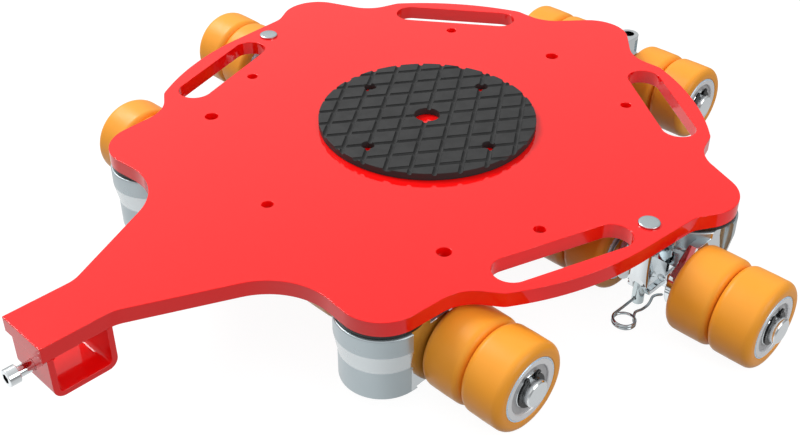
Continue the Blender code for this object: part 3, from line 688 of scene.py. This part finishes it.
def turned_point(point, angle):
    """An (x, y, ...) point turned about the deck's centre."""
    x, y = point[:2]
    return (x * cos(angle) - y * sin(angle), x * sin(angle) + y * cos(angle), *point[2:])


def rim(start, end):
    """Corner entries along the round rim between two directions."""
    return [(x, y, 0) for x, y in arc((0, 0), RIM_RADIUS, start, end, radians(2))[1:-1]]


def deck_outline():
    """The deck's outline, counter-clockwise: half of it is listed and the other half mirrored."""
    apex = (SWIVEL_CIRCLE + LOBE_RADIUS / cos(LOBE_FLANK), 0, LOBE_RADIUS)
    turn = atan2(CORNER[1], CORNER[0])
    half = [(ARM_END, -ARM_HALF_WIDTH, 0.8 * MM), (ARM_ROOT[0], -ARM_HALF_WIDTH, ARM_ROOT[1])]
    half += [(x, -y, r) for x, y, r in (SHOULDER, LOBE_APEX)]
    half += [turned_point(p, -2 * STEP) for p in (NOTCH, CORNER)]
    half += rim(turn - 2 * STEP, -STEP - turn)
    half.append(turned_point((PIN_NOTCH[0], -PIN_NOTCH[1], PIN_NOTCH[2]), -STEP))
    half += [turned_point(p, -STEP) for p in (apex, NOTCH, CORNER)]
    half += rim(turn - STEP, -turn)
    half += [(CORNER[0], -CORNER[1], CORNER[2]), (NOTCH[0], -NOTCH[1], NOTCH[2])]
    other = [(x, -y, r) for x, y, r in reversed(half)]
    return rounded([*half, apex, *other], radians(3))


def grip_outline(turn):
    """A hand grip: a slot with round ends, across a direction from the centre, clockwise."""
    radius, width, length = GRIP
    end = (length - width) / 2
    loop = np.concatenate([arc((radius, end), width / 2, 0, pi), arc((radius, -end), width / 2, pi, tau)])
    spin = np.array([[cos(turn), sin(turn)], [-sin(turn), cos(turn)]])
    return (loop @ spin)[::-1]


def make_deck():
    """The deck plate with its rounded edges, grips and drilled holes."""
    loops = [deck_outline()]
    loops += [grip_outline(k * STEP) for k in (-1.5, -0.5, 0.5, 1.5)]
    fixing = [turned_point((FIXING_CIRCLE, 0), k * STEP) for k in (-1.5, -0.5, 0.5, 1.5, 2.5)]
    loops += [circle(place, FIXING_HOLE) for place in fixing]
    for castor in CASTORS:
        x, y, _ = JOINTS[f"{castor}_swivel"]["pos_m"]
        away = LOCK_RADIUS if x < CENTRE_X else -LOCK_RADIUS
        loops.append(circle((x - CENTRE_X + away, y), LOCK_HOLE))
    mesh = plate(loops, DECK_UNDER, DECK_TOP, DECK_EDGE)
    moved(mesh, Matrix.Translation((CENTRE_X, 0, 0)))
    piece("deck_skin", mesh, FINISHES["red_paint"], "deck", ["deck_plate"])


def bar(radius, length, sides=20):
    """A plain round bar along X, for cutting."""
    profile = [(0, -length), (radius, -length), (radius, length), (0, length)]
    return moved(turned(profile, sides), Matrix.Rotation(pi / 2, 4, "Y"))


def make_pad():
    """The ribbed pad: two families of round-bottomed grooves cross it and run out at its rim."""
    low, high = PAD_LOW.z, PAD_HIGH.z
    loops = [circle((0, 0), PAD_RADIUS, 192)[::-1], circle((0, 0), PAD_CENTRE_HOLE, 64)]
    loops += [circle(turned_point((PAD_HOLE_CIRCLE, 0), k * pi / 2), PAD_HOLE, 32) for k in range(4)]
    disc = plate(loops, low, high, PAD_EDGE, 2)
    reach = int(PAD_RADIUS / GROOVE_PITCH)
    families = []
    for turn in (GROOVE_TURN, -GROOVE_TURN):
        spin = Matrix.Translation((0, 0, high)) @ Matrix.Rotation(turn, 4, "Z")
        rows = range(-reach, reach + 1)
        bars = [
            moved(bar(GROOVE_RADIUS, 2 * PAD_RADIUS), spin @ Matrix.Translation((0, k * GROOVE_PITCH, 0)))
            for k in rows
        ]
        families.append(merged(bars))
    mesh = shaded(cut(disc, cuts=families))
    moved(mesh, Matrix.Translation((CENTRE_X, 0, 0)))
    piece("ribbed_pad", mesh, FINISHES["pad_rubber"], "deck", ["load_pad"])


def make_socket():
    """The tow socket: a bent channel with round outer and inner corners, drilled for the screw."""
    low, high = SOCKET_LOW, SOCKET_HIGH
    wall, corner = SOCKET_WALL, SOCKET_CORNER
    outer = [(low.x, low.z, corner), (high.x, low.z, corner), (high.x, high.z, 0)]
    inner = [
        (high.x - wall, high.z, 0),
        (high.x - wall, low.z + wall, corner - wall),
        (low.x + wall, low.z + wall, corner - wall),
        (low.x + wall, high.z, 0),
        (low.x, high.z, 0),
    ]
    channel = plate([rounded(outer + inner)], low.y, high.y, SOCKET_EDGE)
    moved(channel, Matrix.Rotation(pi / 2, 4, "X"))
    middle = (SCREW_LOW.z + SCREW_HIGH.z) / 2
    hole = moved(bar(SCREW_HOLE, 2 * wall, 48), Matrix.Translation((low.x, 0, middle)))
    mesh = shaded(cut(channel, cuts=[hole]))
    piece("tow_channel", mesh, FINISHES["red_paint"], "deck", ["tow_socket"])


def make_clamp_screw():
    """Socket-head screw along X: a turned head with a hexagon recess, whose faces get the second
    finish, black as painted shade, and a smooth shank with a chamfered tip."""
    tip, end = SCREW_LOW.x, SCREW_HIGH.x
    middle = (SCREW_LOW.z + SCREW_HIGH.z) / 2
    wide, head = SCREW_HEAD
    outline = [
        (0, 0, 0),
        (wide, 0, 0.8 * MM),
        (wide, head, 0.5 * MM),
        (SCREW_RADIUS, head, 0.4 * MM),
        (SCREW_RADIUS, end - tip, 0.8 * MM),
        (0, end - tip, 0),
    ]
    profile = rounded(outline, radians(15))
    key_half, key_depth = HEX_KEY
    key = turned([(0, -key_depth), (key_half, -key_depth), (key_half, key_depth), (0, key_depth)], 6)
    mesh = shaded(cut(turned(profile, 64), cuts=[key]))
    points, radii = middles(mesh)
    depths = points[:, 2]
    # The recess faces are coloured black: painted shade inside the hexagon hole.
    coated(mesh, (radii < key_half) & (depths > 0.3 * MM) & (depths < 1.1 * key_depth))
    lie = Matrix.Translation((tip, 0, middle)) @ Matrix.Rotation(pi / 2, 4, "Y")
    both = [FINISHES["bright_steel"], FINISHES["black_steel"]]
    piece("socket_head_screw", moved(mesh, lie), both, "clamp_screw", ["tow_clamp_screw"])


# ---------------------------------------------------------------- castors


def yoke_mesh():
    """The castor housing about its swivel axis, trailing towards +X: a turned hub, two cheeks, the
    axle block and the lock lug joined, then relieved for the wheels, bored and sloped. Its milled
    faces get the second finish and the tapered band the third, a painted highlight."""
    hub = turned(
        rounded(
            [
                (0, HUB_BOTTOM, 0),
                (HUB_LOW_RADIUS, HUB_BOTTOM, 1.5 * MM),
                (HUB_LOW_RADIUS, TAPER[0], 6 * MM),
                (HUB_RADIUS, TAPER[1], 1.2 * MM),
                (HUB_RADIUS, HUB_TOP, 1.5 * MM),
                (0, HUB_TOP, 0),
            ],
            radians(15),
        ),
        96,
    )
    inner, outer, end, top = CHEEK
    centre = (TRAIL, HUB_HEIGHT)
    joins = [box((0, -FLANGE[0], HUB_BOTTOM + 0.3 * MM), (TRAIL / 2, FLANGE[0], FLANGE[1]))]
    outline = [(1 * MM, top), (1 * MM, CHEEK_LOW)]
    outline = np.concatenate([outline, arc(centre, end, -pi / 2, radians(40)), [(CHEEK_SHOULDER, top)]])
    for side in (-1, 1):
        near, far = sorted((-side * inner, -side * outer))
        joins.append(moved(plate([outline], near, far, 0.8 * MM), Matrix.Rotation(pi / 2, 4, "X")))
    across = inner + 1 * MM
    joins.append(box((BLOCK[0], -across, BLOCK[2]), (BLOCK[1], across, BLOCK[3])))
    radius, low, high = NOSE
    nose = arc((LOCK_RADIUS, 0), radius, -pi / 2, pi / 2, radians(4))
    tab = np.concatenate([[(20 * MM, radius), (20 * MM, -radius)], nose])
    joins.append(plate([tab], low, low + TAB, 0.6 * MM))
    joins.append(plate([tab], high - TAB, high, 0.6 * MM))
    lean, flat = acos(POST_START / radius), LOCK_RADIUS + POST_START
    nose = arc((LOCK_RADIUS, 0), radius - 0.05 * MM, -lean, lean, radians(4))
    post = np.concatenate([[(flat, WEB), (2 * MM, WEB), (2 * MM, -WEB), (flat, -WEB)], nose])
    joins.append(plate([post], low + 0.5 * MM, high - 0.5 * MM, 0.4 * MM))
    mesh = eased(cut(hub, unions=joins, cuts=yoke_cuts()), HOUSING_EDGE, 28, 2)
    points, radii = middles(mesh)
    along, across, heights = points.T
    milled = (np.abs(np.abs(across) - outer) < 0.6 * MM) & (along > -12 * MM)
    milled |= along > 40 * MM
    from_axle = np.hypot(along - TRAIL, heights - HUB_HEIGHT)
    milled |= (np.abs(from_axle - WHEEL_RELIEF) < 0.8 * MM) & (np.abs(across) > outer)
    # The tapered band gets a paler copy of the housing metal: a painted highlight.
    band = (heights > TAPER[0] + 1 * MM) & (heights < TAPER[1] - 0.5 * MM) & ~milled
    band &= radii > HUB_LOW_RADIUS - 1 * MM
    return coated(mesh, np.where(band, 2, milled))


def box(low, high):
    """A plain box for joining or cutting: a grid of two outlines with its ends filled."""
    (x0, y0, z0), (x1, y1, z1) = low, high
    outline = np.array([[x0, y0], [x1, y0], [x1, y1], [x0, y1]])
    points = np.concatenate([np.insert(outline, 2, z, axis=1) for z in (z0, z1)])
    caps = np.array([[3, 2, 1, 0], [4, 5, 6, 7]])
    return solid(points, grid_faces(2, 4), caps)


def yoke_cuts():
    """What is cut from the housing: wheel relief, axle and kingpin bores, cavity, lock hole, grub
    screw holes, and the slope under the nose."""
    lie = Matrix.Translation((TRAIL, 0, HUB_HEIGHT)) @ Matrix.Rotation(pi / 2, 4, "X")
    outer = CHEEK[1]
    above = 95 * MM  # clear of the housing's top
    cuts = []
    for side in (-1, 1):
        near, far = sorted((side * outer, side * 2 * outer))
        disc = turned([(0, near), (WHEEL_RELIEF, near), (WHEEL_RELIEF, far), (0, far)], 96)
        cuts.append(moved(disc, lie))
        cuts.append(box((RELIEF_START, near, HUB_HEIGHT + RELIEF_RISE), (2 * TRAIL, far, above)))
    bore = AXLE_RADIUS + AXLE_FIT
    ends = ((0, -2 * outer), (bore, -2 * outer), (bore, 2 * outer), (0, 2 * outer))
    cuts.append(moved(turned(ends, 64), lie))
    cuts.append(turned([(0, 0), (CAVITY[0], 0), (CAVITY[0], CAVITY[1]), (0, CAVITY[1])], 64))
    cuts.append(turned([(0, 0), (KINGPIN_BORE, 0), (KINGPIN_BORE, above), (0, above)], 48))
    lock = turned([(0, 0), (LOCK_HOLE, 0), (LOCK_HOLE, above), (0, above)], 48)
    cuts.append(moved(lock, Matrix.Translation((LOCK_RADIUS, 0, 0))))
    size, across, height = GRUB_HOLES
    for side in (-1, 1):
        place = Matrix.Translation((BLOCK[1] + 1 * MM, side * across, height))
        cuts.append(moved(bar(size, size, 32), place))
    reach = 60 * MM
    tip = Matrix.Translation((LOCK_RADIUS + NOSE[0], 0, SLOPE[0]))
    wedge = box((0, -reach, -reach), (reach, reach, reach))
    cuts.append(moved(wedge, tip @ Matrix.Rotation(pi / 2 - SLOPE[1], 4, "Y")))
    return cuts


def bearing_mesh():
    """The sealed thrust bearing about the swivel axis: two races with a shallow seal groove between."""
    low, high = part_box("rear_thrust_bearing")
    radius, inner = THRUST_BEARING
    corners = [
        (inner, low.z, 0),
        (radius - 0.8 * MM, low.z, 0.3 * MM),
        (radius - 0.8 * MM, low.z + 1.5 * MM, 0),
        (radius, low.z + 1.8 * MM, 0.3 * MM),
        (radius, high.z, 0.4 * MM),
        (inner, high.z, 0),
    ]
    return turned(rounded(corners, radians(20)), 96, closed=True)


def axle_mesh(length):
    """The axle about Z: ground bar with chamfered ends and two circlip grooves."""
    half = length / 2
    face = half - AXLE_PROUD - BEARING_SETBACK
    near, far = face + 0.15 * MM, face + 0.45 * MM + CIRCLIP_THICKNESS
    inner = AXLE_RADIUS - GROOVE_DEPTH
    profile = [
        (0, half),
        (AXLE_RADIUS - 1.6 * MM, half),
        (AXLE_RADIUS - 1.1 * MM, half - 0.15 * MM),
        (AXLE_RADIUS - 0.1 * MM, half - 1.1 * MM),
        (AXLE_RADIUS, half - 1.5 * MM),
        (AXLE_RADIUS, far),
        (inner, far),
        (inner, near),
        (AXLE_RADIUS, near),
    ]
    return turned([(r, -z) for r, z in profile] + profile[::-1], 96)


def circlip_mesh():
    """An open spring ring with two eared eyes; it lies flat about Z."""
    inner = AXLE_RADIUS - GROOVE_DEPTH + CLEAR
    start = pi / 2 + CIRCLIP_GAP / 2
    end = pi / 2 - CIRCLIP_GAP / 2 + tau
    ear = CIRCLIP_EAR / CIRCLIP_RADIUS
    first, last = start + ear, end - ear
    centres = [(CIRCLIP_RADIUS * cos(turn), CIRCLIP_RADIUS * sin(turn)) for turn in (first, last)]
    fine = radians(12)
    room = CIRCLIP_EAR_ROOM * ear
    outline = np.concatenate(
        [
            arc(centres[0], CIRCLIP_EAR, first - pi / 2, first + pi / 2, fine),
            arc((0, 0), CIRCLIP_RADIUS, start + room, end - room),
            arc(centres[1], CIRCLIP_EAR, last - pi / 2, last + pi / 2, fine),
            arc((0, 0), inner, end, start),
        ]
    )
    eyes = [circle(centre, CIRCLIP_EYE, 20) for centre in centres]
    return plate([outline, *eyes], -CIRCLIP_THICKNESS / 2, CIRCLIP_THICKNESS / 2, 0.15 * MM, 2)


def tyre_mesh():
    """The tyre about Z: soft shoulders and a slightly crowned tread."""
    crown = 0.25 * MM
    corners = [
        (TYRE_BORE, -WHEEL_HALF + 0.9 * MM, 0.2 * MM),
        (TYRE_BORE + 0.9 * MM, -WHEEL_HALF, 0.3 * MM),
        (WHEEL_RADIUS - crown, -WHEEL_HALF, TYRE_SHOULDER),
        (WHEEL_RADIUS, 0, 0),
        (WHEEL_RADIUS - crown, WHEEL_HALF, TYRE_SHOULDER),
        (TYRE_BORE + 0.9 * MM, WHEEL_HALF, 0.3 * MM),
        (TYRE_BORE, WHEEL_HALF - 0.9 * MM, 0.2 * MM),
    ]
    return turned(rounded(corners, radians(9)), 112, closed=True, sharp=50)


def core_mesh():
    """The wheel centre about Z: a turned ring with a chamfered bore and a lower rim next to the tyre;
    the rim gets the second finish, a bright bluish painted highlight."""
    half = WHEEL_HALF - 0.15 * MM
    edge = [
        (CORE_BORE, half - 0.8 * MM),
        (CORE_BORE + 0.8 * MM, half),
        (TYRE_BORE - 1.6 * MM, half),
        (TYRE_BORE - 1.1 * MM, half - 0.45 * MM),
        (TYRE_BORE - 0.05 * MM, half - 0.45 * MM),
    ]
    profile = [(r, -z) for r, z in edge] + edge[::-1]
    mesh = turned(profile, 112, closed=True, sharp=25)
    # The rim faces get the bright bluish painted highlight.
    return coated(mesh, middles(mesh)[1] > TYRE_BORE - 1.5 * MM)


def race_mesh():
    """The wheel's ball bearing about Z: recessed shield round a raised inner race; the shield gets
    the second finish."""
    half = WHEEL_HALF - BEARING_SETBACK
    edge = [
        (AXLE_RADIUS + 0.1 * MM, half - 0.4 * MM),
        (AXLE_RADIUS + 0.5 * MM, half),
        (BOSS_RADIUS - 0.4 * MM, half),
        (BOSS_RADIUS, half - 0.4 * MM),
        (BOSS_RADIUS, half - SHIELD_DROP),
        (CORE_BORE - 0.05 * MM, half - SHIELD_DROP),
    ]
    profile = [(r, -z) for r, z in edge] + edge[::-1]
    mesh = turned(profile, 96, closed=True, sharp=25)
    return coated(mesh, middles(mesh)[1] > BOSS_RADIUS + 0.1 * MM)


def make_castors():
    """Five castors: the same meshes, placed by the swivel and wheel joints."""
    yoke, bearing = yoke_mesh(), bearing_mesh()
    low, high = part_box("rear_axle")
    axle, circlip = axle_mesh(high.y - low.y), circlip_mesh()
    tyre_ring, core_ring, races = tyre_mesh(), core_mesh(), race_mesh()
    lie = Matrix.Rotation(-pi / 2, 4, "X")
    for castor, trail in CASTORS.items():
        body = f"{castor}_castor"
        x, y, _ = JOINTS[f"{castor}_swivel"]["pos_m"]
        centre = Matrix.Translation((x, y, 0))
        swivel = centre @ Matrix.Rotation(0 if trail > 0 else pi, 4, "Z")
        # The third finish is the tapered band's painted highlight.
        housing = [FINISHES["cast_housing"], FINISHES["machined"], FINISHES["turned_band"]]
        piece(f"{castor}_housing", placed(yoke, swivel), housing, body, [f"{castor}_yoke"])
        ring = placed(bearing, centre)
        node = f"{castor}_thrust_bearing"
        piece(f"{castor}_sealed_bearing", ring, FINISHES["black_steel"], "deck", [node])
        hub = Matrix.Translation((x + trail * TRAIL, y, HUB_HEIGHT))
        steel, node = FINISHES["bright_steel"], f"{castor}_axle"
        piece(f"{castor}_ground_axle", placed(axle, hub @ lie), steel, body, [node])
        for side in ("left", "right"):
            node = f"{castor}_circlip_{side}"
            low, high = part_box(node)
            stand = Matrix.Translation((hub[0][3], (low.y + high.y) / 2, HUB_HEIGHT))
            ring = placed(circlip, stand @ Matrix.Rotation(pi / 2, 4, "X"))
            name, black = f"{castor}_spring_ring_{side}", FINISHES["black_steel"]
            piece(name, ring, black, body, [node])
        for place in (1, 2, 3, 4):
            node = f"{castor}_wheel_{place}"
            stand = Matrix.Translation(JOINTS[f"{node}_spin"]["pos_m"]) @ lie
            piece(f"{node}_tyre", placed(tyre_ring, stand), FINISHES["tyre"], node, [node])
            # The core's second finish is the rim's painted highlight.
            pale = [FINISHES["core_metal"], FINISHES["core_rim"]]
            piece(f"{node}_core", placed(core_ring, stand), pale, node)
            both = [FINISHES["bright_steel"], FINISHES["seal"]]
            piece(f"{node}_bearing", placed(races, stand), both, node)


# ---------------------------------------------------------------- lock pins and clips


def make_lock(castor):
    """A lock pin with a low domed head and cross hole, and its R-clip."""
    low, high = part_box(f"{castor}_lock_pin")
    x, y = (low.x + high.x) / 2, (low.y + high.y) / 2
    side = 1 if y > 0 else -1
    radius, height = PIN_HEAD
    under = high.z - height
    dome = np.linspace(0, 1, 9)[:, None]
    crown = np.concatenate([(radius - 1 * MM) * (1 - dome), high.z - 0.25 * MM * (1 - dome) ** 2], 1)
    profile = np.concatenate(
        [
            [(0, low.z), (PIN_RADIUS - PIN_CHAMFER, low.z), (PIN_RADIUS, low.z + PIN_CHAMFER)],
            [(PIN_RADIUS, under)],
            [(radius - 0.2 * MM, under), (radius, under + 0.3 * MM), (radius, high.z - 1 * MM)],
            [(radius - 0.3 * MM, high.z - 0.6 * MM)],
            crown,
        ]
    )
    pin = turned(profile, 64)
    level = Matrix.Translation((0, 0, DECK_TOP - CLIP_DROP))
    mesh = shaded(cut(pin, cuts=[moved(bar(CLIP_HOLE, 3 * PIN_RADIUS, 24), level)]))
    moved(mesh, Matrix.Translation((x, y, 0)))
    body = f"{castor}_lock_pin"
    piece(f"{castor}_turned_pin", mesh, FINISHES["zinc_plate"], body, [body])
    route = clip_route() * [1, -side, 1] + [x, y, 0]
    points, quads = swept(route, CLIP_WIRE)
    clip = solid(points, quads, sharp=60)
    body = f"{castor}_r_clip"
    piece(f"{castor}_spring_clip", clip, FINISHES["spring_wire"], body, [body])


def clip_route():
    """Centre line of the R-clip about its pin: straight leg, helical ring, wavy leg."""
    z = DECK_TOP - CLIP_DROP
    straight = [(8.75 * MM, 0, z), (0, 0, z), (-10.75 * MM, 0, z), (-24 * MM, -0.2 * MM, z)]
    leg = through([*straight, (-CLIP_REACH, 0, z)], 60)
    share = np.linspace(0, CLIP_TURNS, 160)[1:]
    turn = pi / 2 + share * tau
    coil = np.stack(
        [
            -CLIP_REACH + CLIP_RING * np.cos(turn),
            -CLIP_RING + CLIP_RING * np.sin(turn),
            z - CLIP_PITCH * share,
        ],
        -1,
    )
    height = z - CLIP_PITCH * CLIP_TURNS + CLIP_RISE
    knots = [tuple(coil[-8]), tuple(coil[-1])] + [(a * MM, b * MM, height) for a, b in CLIP_WAVE]
    return np.concatenate([leg, coil[:-8], through(knots, 100)])


# ---------------------------------------------------------------- carried-over nodes


def finish_nodes():
    """Frame nodes whose own shape is shown: the kingpins."""
    for castor in CASTORS:
        node = frame["nodes"][f"{castor}_kingpin"]
        node.data.materials.clear()
        node.data.materials.append(FINISHES["zinc_plate"])


# ---------------------------------------------------------------- stage


def area(name, place, size, power):
    """A soft square lamp that looks at the object."""
    light = bpy.data.lights.new(name, "AREA")
    light.shape = "SQUARE"
    light.size = size
    light.energy = power
    lamp = bpy.data.objects.new(name, light)
    bpy.context.scene.collection.objects.link(lamp)
    lamp.location = place
    lamp.rotation_euler = (Vector(LAMP_AIM) - Vector(place)).to_track_quat("-Z", "Y").to_euler()


def make_world():
    """A plain studio: brighter overhead and below than at the horizon, brighter on one side than on
    the other, and white where the camera sees it."""
    world = bpy.data.worlds.new("studio")
    bpy.context.scene.world = world
    world.use_nodes = True
    tree = world.node_tree
    background = tree.nodes["Background"]
    place = tree.nodes.new("ShaderNodeTexCoord")
    split = tree.nodes.new("ShaderNodeSeparateXYZ")
    tree.links.new(place.outputs["Generated"], split.inputs[0])
    x, y, z = split.outputs
    height = eased_range(tree, number(tree, "ABSOLUTE", z), *SKY_HEIGHT)
    side = eased_range(tree, number(tree, "SUBTRACT", y, x), *SKY_SIDE)
    rays = tree.nodes.new("ShaderNodeLightPath")
    studio = number(tree, "MULTIPLY", height, side)
    level = number(tree, "MAXIMUM", studio, rays.outputs["Is Camera Ray"])
    tree.links.new(level, background.inputs["Strength"])
    background.inputs["Color"].default_value = (1, 1, 1, 1)


def make_floor():
    """A wide pale floor that keeps the shadow and glows to the camera until it is white; bright metal
    sees the pale studio through it."""
    shape = bmesh.new()
    bmesh.ops.create_grid(shape, x_segments=1, y_segments=1, size=FLOOR_SIZE)
    mesh = bpy.data.meshes.new("floor")
    shape.to_mesh(mesh)
    shape.free()
    floor = bpy.data.objects.new("floor", mesh)
    bpy.context.scene.collection.objects.link(floor)
    material = bpy.data.materials.new("floor")
    material.use_nodes = True
    tree = material.node_tree
    tree.nodes.remove(tree.nodes["Principled BSDF"])
    diffuse = tree.nodes.new("ShaderNodeBsdfDiffuse")
    diffuse.inputs["Color"].default_value = (*FLOOR_COLOUR, 1)
    glow = tree.nodes.new("ShaderNodeEmission")
    clear = tree.nodes.new("ShaderNodeBsdfTransparent")
    rays = tree.nodes.new("ShaderNodeLightPath")
    lit = tree.nodes.new("ShaderNodeAddShader")
    both = tree.nodes.new("ShaderNodeMixShader")
    seen = number(tree, "MULTIPLY", rays.outputs["Is Camera Ray"], FLOOR_GLOW)
    tree.links.new(seen, glow.inputs["Strength"])
    tree.links.new(diffuse.outputs[0], lit.inputs[0])
    tree.links.new(glow.outputs[0], lit.inputs[1])
    tree.links.new(rays.outputs["Is Glossy Ray"], both.inputs[0])
    tree.links.new(lit.outputs[0], both.inputs[1])
    tree.links.new(clear.outputs[0], both.inputs[2])
    tree.links.new(both.outputs[0], tree.nodes["Material Output"].inputs["Surface"])
    mesh.materials.append(material)


def make_camera():
    """The camera looks down along the direction (1, 1, -1), level."""
    data = bpy.data.cameras.new("camera")
    data.lens = CAMERA_LENS
    data.sensor_width = CAMERA_SENSOR
    data.shift_x, data.shift_y = CAMERA_SHIFT
    camera = bpy.data.objects.new("camera", data)
    bpy.context.scene.collection.objects.link(camera)
    camera.location = CAMERA_PLACE
    camera.rotation_euler = Vector(CAMERA_VIEW).to_track_quat("-Z", "Y").to_euler()
    bpy.context.scene.camera = camera


make_camera()
make_deck()
make_pad()
make_socket()
make_clamp_screw()
make_castors()
for locked in LOCKED:
    make_lock(locked)
finish_nodes()
make_world()
make_floor()
area("key", *KEY_LAMP)
area("fill", *FILL_LAMP)
bpy.context.scene.view_settings.view_transform = "Standard"
